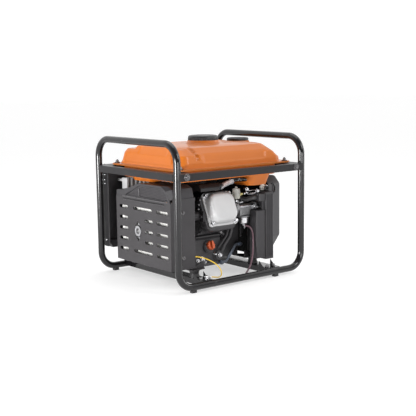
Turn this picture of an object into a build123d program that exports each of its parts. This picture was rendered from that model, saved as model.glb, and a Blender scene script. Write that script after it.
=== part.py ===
from build123d import *
import math
import os

# Open-frame portable inverter generator. Millimetres. +Z up, +X along the frame, origin at the
# centre of the footprint on the ground. The valve cover faces -Y and the control panel +Y.

# ---------------------------------------------------------------- frame
POST_X = 254.0            # post centre lines
POST_Y = 215.3
TUBE_R = 11.0
TUBE_WALL = 1.6
RUN_Z = 17.0              # bottom runs, centre line
BAR_Z = 449.0             # handle bars, centre line
BEND_BOTTOM = 52.0
BEND_TOP = 58.0
HOOP_JOINT_X = -119.0     # where the two hoops meet under the engine
RAIL_Z = (340.0, 362.0)
RAIL_DEPTH = 20.0
RAIL_WALL = 2.5
RAIL_OUT = 10.7           # how far a rail's face stands outside the post centre lines
CROSS_LEFT = (-165.0, -125.0)
CROSS_RIGHT = (105.0, 157.0)
CROSS_Z = (13.0, 30.0)
CROSS_WALL = 2.5
MOUNT_Y = (150.0, 112.0)   # left pair, right pair
MOUNT_R = 17.0
MOUNT_HEIGHT = 20.0
STUD_X = CROSS_LEFT[1] - 1.25   # nuts under the left cross member's lip
STUD_Y = (110.0, 164.0)
FOOT_X = (-200.0, 137.0)
SEAT_INSET = 44.0         # tank seat centres, inwards from the post centre lines
SEAT_X = (-210.0, 219.0)
FOOT_SIZE = (20.0, 16.0)

# ---------------------------------------------------------------- tank
FLANGE_X = (-228.0, 240.0)
FLANGE_Y = 187.0
FLANGE_Z = 367.0
FLANGE_T = 2.0
SHELL_T = 1.6
CAP_XY = (3.0, -15.0)
CAP_R = 50.0
NECK_R = 36.0
SUMP_XY = (131.0, -100.0)
GAUGE_XY = (165.0, 0.0)
GAUGE_R = 37.0
DECK_Z = 432.0

# ---------------------------------------------------------------- engine
CRANK_Y = 35.0
CRANK_Z = 150.0
TILT = 22.5               # cylinder axis above the horizontal, towards -Y
CYL_X = -27.0
BORE_R = 35.0
THROW = 27.5
ROD_LENGTH = 84.0
DECK = 142.0              # distances along the cylinder axis from the crank axis
ROCKER_FACE = 181.0
COVER_OFFSET = 9.0        # valve cover centre above the cylinder axis
COVER_PITCH = (95.0, 92.0)
JOURNAL_R = 12.5
RUN_CLEAR = 0.05
ROTOR_R = 84.0

# ---------------------------------------------------------------- exhaust and guard
GUARD_X = -238.0
GUARD_Y = (-156.0, 143.0)
GUARD_Z = (58.0, 268.0)
GUARD_DEPTH = 95.0
GUARD_T = 1.6
OUTLET_Y = 19.0
OUTLET_Z = 163.0
SLOT_ROWS = (235.0, 200.0, 165.0, 131.0, 97.0)
SLOT_H = 10.0
SLOT_LEFT = (75.0, 123.0)
SLOT_WIDE = (-58.0, 43.0)
SLOT_INNER = (-62.0, -19.0)
SLOT_RIGHT = (-142.0, -82.0)

# ---------------------------------------------------------------- right-hand end
SCROLL_X = (12.0, 88.0)
SCROLL_R = (116.0, 129.0)
END_X = (180.0, 237.0)
END_Y = (-122.0, 186.0)
END_Z = (66.0, 316.0)
FILTER_X = (98.0, 177.0)
FILTER_Y = (-170.0, -134.0)
FILTER_Z = (48.0, 270.0)
NOTCH_Z = (213.0, 244.0)   # the gap in the narrow box where the stud shows
CAP_BOX_X = 112.0
BASE_X = 128.0            # left side of the filter base, behind the front boxes
HANDLE_YZ = (95.0, 238.0)
ROPE_R = 2.2
PULLEY_R = 45.0

# ---------------------------------------------------------------- control panel
PANEL_X = (-236.0, 236.0)
PANEL_Y = (193.0, 216.0)
PANEL_Z = (84.0, 340.0)
INVERTER_X = (-190.0, 6.0)
INVERTER_Y = (147.0, 177.0)
INVERTER_Z = (104.0, 318.0)

UP = Align.MIN
MID = Align.CENTER


# ---------------------------------------------------------------- helpers
def block(x, y, z, edge=0.0):
    """A box between three pairs of limits, with its upright edges rounded when edge is given."""
    solid = Pos((x[0] + x[1]) / 2, (y[0] + y[1]) / 2, (z[0] + z[1]) / 2) * Box(
        x[1] - x[0], y[1] - y[0], z[1] - z[0])
    return fillet(solid.edges().filter_by(Axis.Z), edge) if edge else solid


def rod(start, end, radius):
    """A round bar from start to end."""
    run = Vector(*end) - Vector(*start)
    return Plane(origin=start, z_dir=run) * Cylinder(radius, run.length, align=(MID, MID, UP))


def pipe(start, end, outer, inner):
    """A tube from start to end."""
    run = Vector(*end) - Vector(*start)
    bore = Plane(origin=start, z_dir=run) * Pos(0, 0, -1) * Cylinder(
        inner, run.length + 2, align=(MID, MID, UP))
    return rod(start, end, outer) - bore


def hexagon(start, direction, flats, height):
    """A hexagonal bolt head or nut, standing on start."""
    shape = RegularPolygon(flats / 2, 6, major_radius=False)
    return Plane(origin=start, z_dir=direction) * extrude(shape, height)


def bolt(start, direction, radius, flats, height, shank=0.0):
    """A flanged hexagon bolt: washer face on start, shank going back into the work."""
    unit = Vector(*direction).normalized()
    foot = Vector(*start)
    body = rod(tuple(foot), tuple(foot + unit * 1.5), flats * 0.62)
    body += hexagon(tuple(foot + unit * 1.5), tuple(unit), flats, height - 1.5)
    if shank:
        body += rod(tuple(foot - unit * shank), tuple(foot), radius)
    return body


def hose(points, radii, radius, inner=0.0):
    """A round hose through points, with an arc of the given radius at each corner."""
    line = FilletPolyline(*points, radius=radii)
    start = Plane(origin=line @ 0, z_dir=line % 0)
    solid = sweep(start * Circle(radius), path=line)
    if inner:
        solid -= sweep(start * Circle(inner), path=line)
    return solid


def profile_yz(points, x):
    """A prism along X from x[0] to x[1] with an outline in Y and Z."""
    face = make_face(Polyline(*[(x[0], p[0], p[1]) for p in points], close=True))
    return extrude(face, x[1] - x[0], dir=(1, 0, 0))


def profile_xz(points, y):
    """A prism along Y from y[0] to y[1] with an outline in X and Z."""
    face = make_face(Polyline(*[(p[0], y[0], p[1]) for p in points], close=True))
    return extrude(face, y[1] - y[0], dir=(0, 1, 0))


def save(name, *solids):
    """Writes one node, from one or more separate solids."""
    found = [s for part in solids for s in part.solids()]
    shape = found[0] if len(found) == 1 else Compound(children=found)
    export_step(shape, f"parts/{name}.step")


def along(distance, lift=0.0, x=CYL_X):
    """A point at a distance along the cylinder axis and lift across it, upwards."""
    a = math.radians(TILT)
    return (x, CRANK_Y - distance * math.cos(a) + lift * math.sin(a),
            CRANK_Z + distance * math.sin(a) + lift * math.cos(a))


def cylinder_plane(distance=0.0, lift=0.0, x=CYL_X):
    """Local X along the crank axis, local Y up the cylinder's face, local Z away from the crank."""
    a = math.radians(TILT)
    return Plane(origin=along(distance, lift, x), x_dir=(1, 0, 0),
                 z_dir=(0, -math.cos(a), math.sin(a)))


def axis_point(x, dy=0.0, dz=0.0):
    """A point at x on the crank axis, moved by dy and dz."""
    return (x, CRANK_Y + dy, CRANK_Z + dz)


def cord_radii(points):
    """The arc radius at each corner: 0.45 of the shorter run over the tangent of half the turn."""
    radii = []
    for a, b, c in zip(points, points[1:], points[2:]):
        first = Vector(*b) - Vector(*a)
        second = Vector(*c) - Vector(*b)
        half_turn = math.radians(first.get_angle(second)) / 2
        radii.append(0.45 * min(first.length, second.length) / math.tan(half_turn))
    return radii


# ---------------------------------------------------------------- frame
def frame_hoop(side):
    """A hoop: one handle bar, its two posts, and the bottom runs as far as the joint."""
    x = side * POST_X
    points = [(HOOP_JOINT_X, -POST_Y, RUN_Z), (x, -POST_Y, RUN_Z), (x, -POST_Y, BAR_Z),
              (x, POST_Y, BAR_Z), (x, POST_Y, RUN_Z), (HOOP_JOINT_X, POST_Y, RUN_Z)]
    return hose(points, [BEND_BOTTOM, BEND_TOP, BEND_TOP, BEND_BOTTOM], TUBE_R, TUBE_R - TUBE_WALL)


def post_cutters():
    """The posts' outsides, to cope what meets them."""
    return [rod((sx * POST_X, sy * POST_Y, 60), (sx * POST_X, sy * POST_Y, 400), TUBE_R)
            for sx in (-1, 1) for sy in (-1, 1)]


def side_rails():
    """Two channels along the frame, open towards the tank, coped to the posts."""
    rails = []
    for side in (-1, 1):
        outer = side * (POST_Y + RAIL_OUT)
        inner = outer - side * RAIL_DEPTH
        y = sorted((outer, inner))
        rail = block((-POST_X, POST_X), y, RAIL_Z)
        rail -= block((-POST_X, POST_X), sorted((outer - side * RAIL_WALL, inner)),
                      (RAIL_Z[0] + RAIL_WALL, RAIL_Z[1] - RAIL_WALL))
        for cutter in post_cutters():
            rail -= cutter
        keep = block((-POST_X + 1, POST_X - 1), y, RAIL_Z)
        rails.append(max((rail & keep).solids(), key=lambda s: s.volume))
    return rails


def end_rails():
    """Two channels across the ends, each with a gusset at both corners that carries the tank."""
    rails = []
    y_end = POST_Y + RAIL_OUT - RAIL_DEPTH
    for side in (-1, 1):
        outer = side * (POST_X + RAIL_OUT - 2)
        inner = outer - side * RAIL_DEPTH
        rail = block(sorted((outer, inner)), (-y_end, y_end), RAIL_Z)
        rail -= block(sorted((outer - side * RAIL_WALL, inner)), (-y_end + 3, y_end - 3),
                      (RAIL_Z[0] + RAIL_WALL, RAIL_Z[1] - RAIL_WALL))
        for end in (-1, 1):
            seat = block(sorted((inner + side, inner - side * 46)),
                         sorted((end * y_end, end * (y_end - 50))), (RAIL_Z[1] - 3, RAIL_Z[1]))
            rail += seat
        for cutter in post_cutters():
            rail -= cutter
        rails.append(max(rail.solids(), key=lambda s: s.volume))
    return rails


def cross_members():
    """Two channels between the bottom runs, each with two mount seats and upright gussets."""
    beams = []
    for x, mount_y in zip((CROSS_LEFT, CROSS_RIGHT), MOUNT_Y):
        beam = block(x, (-POST_Y, POST_Y), CROSS_Z)
        beam -= block((x[0] + CROSS_WALL, x[1] - CROSS_WALL), (-POST_Y, POST_Y),
                      (CROSS_Z[0] - 1, CROSS_Z[1] - CROSS_WALL))
        for side in (-1, 1):
            beam -= rod((x[0] - 5, side * POST_Y, RUN_Z), (x[1] + 5, side * POST_Y, RUN_Z), TUBE_R)
            middle = (x[0] + x[1]) / 2
            for edge in (x[0], x[1] - CROSS_WALL):
                y0 = side * 172
                gusset = profile_yz([(y0, CROSS_Z[1] - 1), (y0 + side * 20, CROSS_Z[1] - 1),
                                     (y0, CROSS_Z[1] + 17)], (edge, edge + CROSS_WALL))
                beam += gusset
            beam += rod((middle, side * mount_y, CROSS_Z[1] - 1),
                        (middle, side * mount_y, CROSS_Z[1] + 1), MOUNT_R)
        beams.append(max(beam.solids(), key=lambda s: s.volume))
    return beams


def mount_places():
    """Where the four rubber mounts stand."""
    return [((x[0] + x[1]) / 2, side * y) for x, y in zip((CROSS_LEFT, CROSS_RIGHT), MOUNT_Y)
            for side in (-1, 1)]


def engine_mounts():
    """Four waisted rubber mounts."""
    mounts = []
    low = CROSS_Z[1] + 1
    for x, y in mount_places():
        outline = Polyline((0, 0), (MOUNT_R, 0), (MOUNT_R - 3, MOUNT_HEIGHT / 2),
                           (MOUNT_R, MOUNT_HEIGHT), (0, MOUNT_HEIGHT), close=True)
        rubber = revolve(Plane.XZ * make_face(outline), Axis.Z)
        mounts.append(Pos(x, y, low) * rubber)
    return mounts


def mount_brackets():
    """Four pressed arms: the left pair lies on the engine foot, the right pair holds the scroll."""
    arms = []
    low = CROSS_Z[1] + 1 + MOUNT_HEIGHT
    for x, y in mount_places():
        side = 1 if y > 0 else -1
        left = x < 0
        near_x = CASE_X[0] - 14 if left else SCROLL_X[1] + 5
        far_x = x - 19 if left else x + 19
        inner_y = 84 * side if left else (-48 if side < 0 else 96)
        plate = make_face(Polyline((far_x, y + 19 * side, low), (near_x, y + 8 * side, low),
                                   (near_x, inner_y, low), (near_x + (-18 if left else 14), inner_y, low),
                                   (far_x, y - 19 * side, low), close=True))
        arm = extrude(plate, 3.5, dir=(0, 0, 1))
        web = make_face(Polyline((far_x, y, low + 3), (near_x, y, low + 3),
                                 (near_x, y, low + 26), close=True))
        arm += extrude(web, 3.0, dir=(0, side, 0))
        if not left:
            arm += block((near_x, near_x + 3), sorted((inner_y, inner_y + 28 * side)),
                         (low, low + 34))
        arms.append(arm)
    return arms


def frame_feet():
    """Four rubber feet under the bottom runs."""
    feet = []
    for x in FOOT_X:
        for side in (-1, 1):
            foot = block((x - FOOT_SIZE[0] / 2, x + FOOT_SIZE[0] / 2),
                         (side * POST_Y - FOOT_SIZE[1] / 2, side * POST_Y + FOOT_SIZE[1] / 2),
                         (0, RUN_Z), 5)
            foot -= rod((x - 20, side * POST_Y, RUN_Z), (x + 20, side * POST_Y, RUN_Z), TUBE_R)
            feet.append(foot)
    return feet


def tank_seats():
    """The four corners where the tank stands on the frame."""
    return [(x, side * (POST_Y - SEAT_INSET + 1)) for x in SEAT_X for side in (-1, 1)]


def frame_bolts():
    """Rail bolts, tank bolts, guard screws and the earth terminal."""
    pieces = []
    rail_z = (RAIL_Z[0] + RAIL_Z[1]) / 2 + 1
    for side in (-1, 1):
        face = side * (POST_Y + RAIL_OUT)
        for x in (-226, 220):
            pieces.append(bolt((x, face, rail_z), (0, side, 0), 3, 10, 6.5))
    for x, y in tank_seats():
        pieces.append(bolt((x, y, FLANGE_Z + 4), (0, 0, 1), 3, 10, 7))
        pieces.append(rod((x, y, FLANGE_Z + 11), (x, y, FLANGE_Z + 18), 2.6))
    pieces.append(bolt((-190, GUARD_Y[0], 235), (0, -1, 0), 2.5, 8, 5, 5))
    for x, y in ((117, -198), (145, -198), (-153, -194)):
        pieces.append(bolt((x, y, CROSS_Z[1]), (0, 0, 1), 3, 10, 7))
    for y in STUD_Y:
        pieces.append(bolt((STUD_X, y, CROSS_Z[0]), (0, 0, -1), 3, 10, 7))
    return pieces + earth_terminals()


def earth_terminals():
    """Earth bolt on the left cross member, and a crimped lug at each end of the earth wire."""
    end = Vector(*GROUND_POINTS[-1])
    back = (Vector(*GROUND_POINTS[-2]) - end).normalized()
    bolt_x = end.X - 19
    lug = rod((bolt_x, end.Y, CROSS_Z[1]), (bolt_x, end.Y, CROSS_Z[1] + 1.2), 6)
    lug += block((bolt_x, end.X - 6), (end.Y - 2.4, end.Y + 2.4), (CROSS_Z[1], CROSS_Z[1] + 1.2))
    lug += rod(tuple(end - back * 9), tuple(end), 2.4)
    lug += bolt((bolt_x, end.Y, CROSS_Z[1] + 1.2), (0, 0, 1), 3, 11, 8.5)
    start = Vector(*GROUND_POINTS[0])
    onward = (Vector(*GROUND_POINTS[1]) - start).normalized()
    inside = GUARD_Y[0] + GUARD_T
    tab = block((start.X - 14, start.X - 2), (inside, inside + 1.2), (start.Z - 5, start.Z + 5))
    tab += rod(tuple(start - onward * 8), tuple(start), 2.8)
    tab += bolt((start.X - 12, GUARD_Y[0], start.Z), (0, -1, 0), 2.5, 8, 5, 5)
    return [lug, tab]


# ---------------------------------------------------------------- fuel tank
def corner_box(x, y, z, inset, edge):
    """A box whose top is drawn in by inset on every side, with rounded upright edges."""
    low = Pos((x[0] + x[1]) / 2, (y[0] + y[1]) / 2, z[0]) * RectangleRounded(
        x[1] - x[0], y[1] - y[0], edge)
    high = Pos((x[0] + x[1]) / 2, (y[0] + y[1]) / 2, z[1]) * RectangleRounded(
        x[1] - x[0] - 2 * inset, y[1] - y[0] - 2 * inset, max(edge - inset / 2, 4))
    return loft([low, high])


def tank_top_form(skin):
    """The raised part of the upper shell, drawn in by skin: walls, bevels and shoulders."""
    base = FLANGE_Z - 0.01 if skin else FLANGE_Z
    walls = corner_box((-214 + skin, 152 - skin), (-172 + skin, 168 - skin),
                       (base, 408 - skin), 8, 34)
    deck = corner_box((-206 + skin, 144 - skin), (-164 + skin, 160 - skin),
                      (408 - skin, DECK_Z - 2 - skin), 14, 30)
    shoulder = corner_box((-100 + skin, 213 - skin), (-166 + skin, 162 - skin),
                          (base, 384 - skin), 5, 26)
    slope = corner_box((-60 + skin, 207 - skin), (-150 + skin, 150 - skin),
                       (384 - skin, 421 - skin), 12, 22)
    return walls + deck + shoulder + slope


def tank_flange(z):
    """The flat flange of either pressing, with its underside at z."""
    middle = (FLANGE_X[0] + FLANGE_X[1]) / 2
    return Pos(middle, 0, z) * extrude(
        RectangleRounded(FLANGE_X[1] - FLANGE_X[0], 2 * FLANGE_Y, 20), FLANGE_T)


def tank_upper_shell():
    """Upper pressing: flange, hollow raised form, filler collar with an open neck."""
    flange = tank_flange(FLANGE_Z)
    shell = flange + tank_top_form(0)
    collar = Pos(*CAP_XY, 415) * Cone(CAP_R + 9, CAP_R + 1, 19, align=(MID, MID, UP))
    gauge_seat = Pos(*GAUGE_XY, 408) * Cylinder(GAUGE_R + 3, 22, align=(MID, MID, UP))
    shell += collar
    shell += gauge_seat
    shell -= tank_top_form(SHELL_T + 0.6)
    neck_bore = Pos(*CAP_XY, 400) * Cylinder(NECK_R, 50, align=(MID, MID, UP))
    gauge_bore = Pos(*GAUGE_XY, 400) * Cylinder(GAUGE_R - 16, 50, align=(MID, MID, UP))
    shell = shell - neck_bore - gauge_bore
    for x, y in tank_seats():
        shell -= Pos(x, y, FLANGE_Z - 1) * Cylinder(4, 6, align=(MID, MID, UP))
    return max(shell.solids(), key=lambda s: s.volume)


def tank_lower_form(skin):
    """The lower pressing's outside, drawn in by skin: a shallow pan with a sump at the right."""
    top = FLANGE_Z - 0.5
    pan = Pos(0, 0, 328 + skin) * extrude(RectangleRounded(2 * (206 - skin), 2 * (160 - skin), 34), 70)
    pan &= block((-230, 230), (-190, 190), (300, top))
    sump_low = Pos(*SUMP_XY, 294 + skin) * RectangleRounded(84 - 2 * skin, 92 - 2 * skin, 24)
    sump_high = Pos(*SUMP_XY, 330) * RectangleRounded(104 - 2 * skin, 116 - 2 * skin, 28)
    sump = loft([sump_low, sump_high])
    belly_low = Pos(-180, 42, 318 + skin) * RectangleRounded(40 - 2 * skin, 110 - 2 * skin, 16)
    belly_high = Pos(-180, 42, 330) * RectangleRounded(50 - 2 * skin, 132 - 2 * skin, 20)
    belly = loft([belly_low, belly_high])
    return pan + sump + belly


def tank_lower_shell():
    """Lower pressing: flange, pan and sump, hollow and open upwards."""
    top = FLANGE_Z - 0.5
    shell = tank_flange(top - FLANGE_T) + tank_lower_form(0)
    shell -= tank_lower_form(SHELL_T)
    shell -= Pos(*SUMP_XY, top - 20) * Box(60, 60, 60)
    for x, y in tank_seats():
        shell -= Pos(x, y, top - FLANGE_T - 1) * Cylinder(4, 6, align=(MID, MID, UP))
    outlet = Pos(VALVE[0], VALVE[1], 288) * Cylinder(5, 12, align=(MID, MID, UP))
    shell -= outlet
    return max(shell.solids(), key=lambda s: s.volume)


def tank_mount_rubbers():
    """Rubber washers under and over the tank flange at its four corners."""
    washers = []
    for x, y in tank_seats():
        low = pipe((x, y, RAIL_Z[1]), (x, y, FLANGE_Z - 0.5 - FLANGE_T), 12, 3.6)
        high = pipe((x, y, FLANGE_Z + FLANGE_T), (x, y, FLANGE_Z + 4), 9.5, 3.6)
        washers += [low, high]
    return washers


def fuel_gauge():
    """Dial housing on the deck, with its float stem going down into the tank."""
    x, y = GAUGE_XY
    body = pipe((x, y, 430), (x, y, 441), GAUGE_R, GAUGE_R - 5)
    body += rod((x, y, 430), (x, y, 437), GAUGE_R - 4)
    body += rod((x, y, 350), (x, y, 431), 4)
    body += rod((x, y, 424), (x, y, 431), GAUGE_R - 17)
    return body


def fuel_cap_plug():
    """Inner threaded plug of the ratchet cap, with the boss that the grip turns on."""
    x, y = CAP_XY
    plug = rod((x, y, 418), (x, y, 434.3), NECK_R - 0.4)
    plug -= rod((x, y, 417), (x, y, 430), NECK_R - 4)
    plug += rod((x, y, 434.3), (x, y, 437), CAP_R - 6)
    plug += rod((x, y, 437), (x, y, 450), 14)
    return plug


def fuel_cap_grip():
    """Ribbed outer grip of the ratchet cap."""
    x, y = CAP_XY
    grip = rod((x, y, 435.2), (x, y, 457), CAP_R)
    grip = fillet(grip.edges().filter_by(GeomType.CIRCLE).sort_by(Axis.Z)[-1], 4)
    grip -= rod((x, y, 435), (x, y, 437.6), CAP_R - 5)
    grip -= rod((x, y, 437), (x, y, 450.6), 14 + RUN_CLEAR)
    for i in range(24):
        a = 2 * math.pi * i / 24
        grip -= rod((x + (CAP_R + 1.2) * math.cos(a), y + (CAP_R + 1.2) * math.sin(a), 434),
                    (x + (CAP_R + 1.2) * math.cos(a), y + (CAP_R + 1.2) * math.sin(a), 449), 3)
    return grip


VALVE = (160.0, -130.0, 281.0)


def fuel_valve_body():
    """Fuel tap under the sump: stem, body, lever boss and a hose spigot to the right."""
    x, y, z = VALVE
    body = rod((x, y, z + 6), (x, y, 300), 4.8)
    body += rod((x, y, z - 8), (x, y, z + 8), 10)
    body += rod((x, y, z), (x, y - 16, z), 7)
    body += rod((x, y, z), (x + 20, y, z), 3.0)
    body -= rod((x, y - 5, z), (x, y - 17, z), 4 + RUN_CLEAR)
    return body


def fuel_valve_lever():
    """Turning lever on the front of the fuel tap, pointing to the right when closed."""
    x, y, z = VALVE
    lever = rod((x, y - 6, z), (x, y - 21, z), 4)
    lever += rod((x, y - 16.4, z), (x, y - 21, z), 7)
    lever += block((x, x + 12), (y - 21, y - 17), (z - 3.5, z + 3.5))
    return lever


FILTER_C = (44.0, -134.0)


def fuel_filter():
    """In-line filter: a clear bowl between two spigots."""
    x, y = FILTER_C
    body = rod((x, y, 254), (x, y, 286), 14)
    body = fillet(body.edges().filter_by(GeomType.CIRCLE), 2.5)
    body += rod((x, y, 249), (x, y, 255), 3)
    body += rod((x, y, 285), (x, y, 295), 3)
    return body


def fuel_hoses():
    """Hose from the tap round to the filter, and from the filter to the carburettor."""
    x, y, z = VALVE
    fx, fy = FILTER_C
    tap_run = [(x + 12, y, z), (x + 30, y, z - 2), (x + 38, y - 14, z - 15), (x + 36, y - 22, z + 3),
               (x + 18, y - 26, z + 19), (x - 60, y - 28, z + 23), (fx + 24, fy - 16, 305),
               (fx, fy, 304), (fx, fy, 287)]
    tap = hose(tap_run, cord_radii_small(tap_run, 14), 4.2) - rod((x, y, z), (x + 20, y, z), 3.0)
    tap -= rod((fx, fy, 280), (fx, fy, 295), 3.0)
    inlet_x, inlet_y, inlet_z = INLET
    carb_run = [(fx, fy, 254), (fx, fy, 246), (fx + 12, fy + 4, 236), (inlet_x - 0.5, inlet_y, inlet_z)]
    carb = hose(carb_run, cord_radii_small(carb_run, 12), 4.2) - rod((fx, fy, 248), (fx, fy, 260), 3)
    carb -= rod((inlet_x - 10, inlet_y, inlet_z), INLET, 3)
    carb -= rod(INTAKE, (inlet_x, INTAKE[1], INTAKE[2]), 16.2)
    carb -= block((inlet_x - 0.4, inlet_x + 20), (inlet_y - 14, inlet_y + 14), (inlet_z - 14, inlet_z + 14))
    return [tap, carb]


def cord_radii_small(points, most):
    """Corner radii as large as the runs allow, up to most."""
    return [min(most, r) for r in cord_radii(points)]


# ---------------------------------------------------------------- exhaust
MUFFLER_X = (-229.0, -158.0)
MUFFLER_Y = (-138.0, 128.0)
MUFFLER_Z = (72.0, 252.0)
PORT = along(161, 0, x=-90)


def muffler():
    """Silencer box with a welded seam rim, and the header pipe from the exhaust port."""
    box_x = (MUFFLER_X[0] + 2, MUFFLER_X[1] - 2)
    body = block(box_x, MUFFLER_Y, MUFFLER_Z)
    body = fillet(body.edges().filter_by(Axis.X), 28)
    hollow = block((box_x[0] + 2, box_x[1] - 2), (MUFFLER_Y[0] + 2, MUFFLER_Y[1] - 2),
                   (MUFFLER_Z[0] + 2, MUFFLER_Z[1] - 2))
    hollow = fillet(hollow.edges().filter_by(Axis.X), 26)
    middle = (MUFFLER_X[0] + MUFFLER_X[1]) / 2
    rim = block((middle - 1.5, middle + 1.5), (MUFFLER_Y[0] - 4, MUFFLER_Y[1] + 4),
                (MUFFLER_Z[0] - 4, MUFFLER_Z[1] + 4))
    rim = fillet(rim.edges().filter_by(Axis.X), 32)
    body = body + rim - hollow
    x, y, z = PORT
    body += pipe((MUFFLER_X[1] - 8, y, z), (x - 1, y, z), 14, 11.5)
    body -= rod((MUFFLER_X[1] - 12, y, z), (MUFFLER_X[1] + 2, y, z), 11.5)
    flange = block((x - 8, x), (y - 26, y + 26), (z - 18, z + 18)) - rod(
        (x - 10, y, z), (x + 2, y, z), 11.5)
    body += flange
    body -= rod((MUFFLER_X[0] - 4, OUTLET_Y, OUTLET_Z), (MUFFLER_X[0] + 8, OUTLET_Y, OUTLET_Z), 9.5)
    return body


def exhaust_outlet():
    """Outlet ring on a two-ear flange, with its two screws."""
    x = MUFFLER_X[0] + 2
    ring = pipe((x - 12, OUTLET_Y, OUTLET_Z), (x, OUTLET_Y, OUTLET_Z), 16.5, 9.5)
    plate = block((x - 2.5, x), (OUTLET_Y - 14, OUTLET_Y + 14), (OUTLET_Z - 30, OUTLET_Z + 30))
    plate = fillet(plate.edges().filter_by(Axis.X), 13)
    ring += plate - rod((x - 5, OUTLET_Y, OUTLET_Z), (x + 1, OUTLET_Y, OUTLET_Z), 9.5)
    for side in (-1, 1):
        ring += bolt((x - 2.5, OUTLET_Y, OUTLET_Z + side * 22.5), (-1, 0, 0), 2.5, 7, 5)
    return ring


def slot_cutter(y, z):
    """One stadium slot through the guard's end plate."""
    shape = SlotOverall(y[1] - y[0], SLOT_H)
    plane = Plane(origin=(GUARD_X - 5, (y[0] + y[1]) / 2, z), x_dir=(0, 1, 0), z_dir=(1, 0, 0))
    return plane * extrude(shape, 12)


def muffler_guard():
    """Slotted end plate folded round both sides of the silencer."""
    x = (GUARD_X, GUARD_X + GUARD_DEPTH)
    outer = block(x, GUARD_Y, GUARD_Z, 3)
    inner = block((x[0] + GUARD_T, x[1] + 5), (GUARD_Y[0] + GUARD_T, GUARD_Y[1] - GUARD_T),
                  (GUARD_Z[0] - 1, GUARD_Z[1] + 1))
    guard = outer - inner
    guard += block((x[0], x[0] + GUARD_T), (GUARD_Y[0] + 3, GUARD_Y[0] + 14),
                   (GUARD_Z[1] - 1, GUARD_Z[1] + 10))
    guard += block((x[0] + 8, x[1]), (GUARD_Y[0], GUARD_Y[0] + GUARD_T),
                   (GUARD_Z[1] - 1, GUARD_Z[1] + 10))
    for row, z in enumerate(SLOT_ROWS):
        guard -= slot_cutter(SLOT_LEFT, z)
        guard -= slot_cutter(SLOT_RIGHT, z)
        guard -= slot_cutter(SLOT_WIDE if row in (0, 4) else SLOT_INNER, z)
    half_w, half_h = 21, 32
    eye = make_face(Polyline((GUARD_X - 5, OUTLET_Y, OUTLET_Z + half_h),
                             (GUARD_X - 5, OUTLET_Y + half_w * 0.72, OUTLET_Z + half_h * 0.45),
                             (GUARD_X - 5, OUTLET_Y + half_w, OUTLET_Z),
                             (GUARD_X - 5, OUTLET_Y + half_w * 0.72, OUTLET_Z - half_h * 0.45),
                             (GUARD_X - 5, OUTLET_Y, OUTLET_Z - half_h),
                             (GUARD_X - 5, OUTLET_Y - half_w * 0.72, OUTLET_Z - half_h * 0.45),
                             (GUARD_X - 5, OUTLET_Y - half_w, OUTLET_Z),
                             (GUARD_X - 5, OUTLET_Y - half_w * 0.72, OUTLET_Z + half_h * 0.45),
                             close=True))
    guard -= extrude(eye, 12, dir=(1, 0, 0))
    for z in (235, 95):
        guard -= rod((-190, GUARD_Y[0] - 1, z), (-190, GUARD_Y[0] + 5, z), 2.7)
    return guard


HUMP = [(141, 258), (141, 286), (100, 288), (80, 294), (14, 315), (-104, 317),
        (-150, 316), (-153, 282), (-153, 270), (94, 270), (106, 258)]


def guard_top_cover():
    """Moulded cover over the silencer, hollow underneath, with a window for the mesh."""
    x = (GUARD_X + 2, GUARD_X + GUARD_DEPTH)
    outer = profile_yz(HUMP, x)
    inner_points = [(y * 0.972, z - 3.5) for y, z in HUMP[1:8]]
    inner = profile_yz([(inner_points[0][0], 250)] + inner_points + [(inner_points[-1][0], 250)],
                       (x[0] + 3, x[1] + 5))
    window = profile_yz([(88, 273), (-140, 273), (-104, 311), (12, 309)], (x[0] - 2, x[0] + 5))
    return outer - inner - window


def guard_mesh():
    """Perforated sheet behind the cover's window."""
    sheet = profile_yz([(91, 271.5), (-145, 271.5), (-106, 312), (14, 311)],
                       (GUARD_X + 5.0, GUARD_X + 6.2))
    for row in range(4):
        z = 277 + row * 9
        for i in range(22):
            y = -128 + i * 9.6 + (row % 2) * 4.8
            low = 88 - (z - 273) * 1.9
            high = -138 + (z - 273) * 0.9
            if high + 6 < y < low - 6:
                sheet -= rod((GUARD_X, y, z), (GUARD_X + 9, y, z), 2.6)
    return sheet


# ---------------------------------------------------------------- engine
CASE_X = (-95.0, 8.0)
FOOT_TOP = CROSS_Z[1] + 1 + MOUNT_HEIGHT
CASE = [(-92, 44), (112, 44), (112, 186), (84, 218), (10, 222), (-40, 196), (-92, 128)]
WALL = 6.0


def inner_case():
    """The crankcase cavity's outline."""
    middle_y = sum(p[0] for p in CASE) / len(CASE)
    middle_z = sum(p[1] for p in CASE) / len(CASE)
    return [(y + WALL * (1 if y < middle_y else -1), z + WALL * (1 if z < middle_z else -1))
            for y, z in CASE]


def crankcase():
    """Crankcase, foot and finned cylinder barrel in one casting, open at the cover side."""
    body = profile_yz(CASE, CASE_X)
    foot = block((CASE_X[0] - 33, CASE_X[1] + 3), (-96, 116), (FOOT_TOP - 10, FOOT_TOP))
    barrel = cylinder_plane(50) * Cylinder(43, DECK - 50, align=(MID, MID, UP))
    body = body + foot + barrel
    for i in range(7):
        fin = cylinder_plane(88 + i * 7.5) * extrude(RectangleRounded(112, 104, 14), 2.4)
        body += fin
    body -= profile_yz(inner_case(), (CASE_X[0] - 12, CASE_X[1] - WALL))
    body -= cylinder_plane(30) * Cylinder(BORE_R, DECK - 20, align=(MID, MID, UP))
    body -= rod(axis_point(CASE_X[0]), axis_point(CASE_X[1] + 5), JOURNAL_R + RUN_CLEAR)
    neck = oil_cap_plane() * Pos(0, 0, -22) * Cylinder(17, 22, align=(MID, MID, UP))
    neck_bore = oil_cap_plane() * Pos(0, 0, -64) * Cylinder(9.5, 70, align=(MID, MID, UP))
    body = body + neck - neck_bore
    return max(body.solids(), key=lambda s: s.volume)


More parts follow.
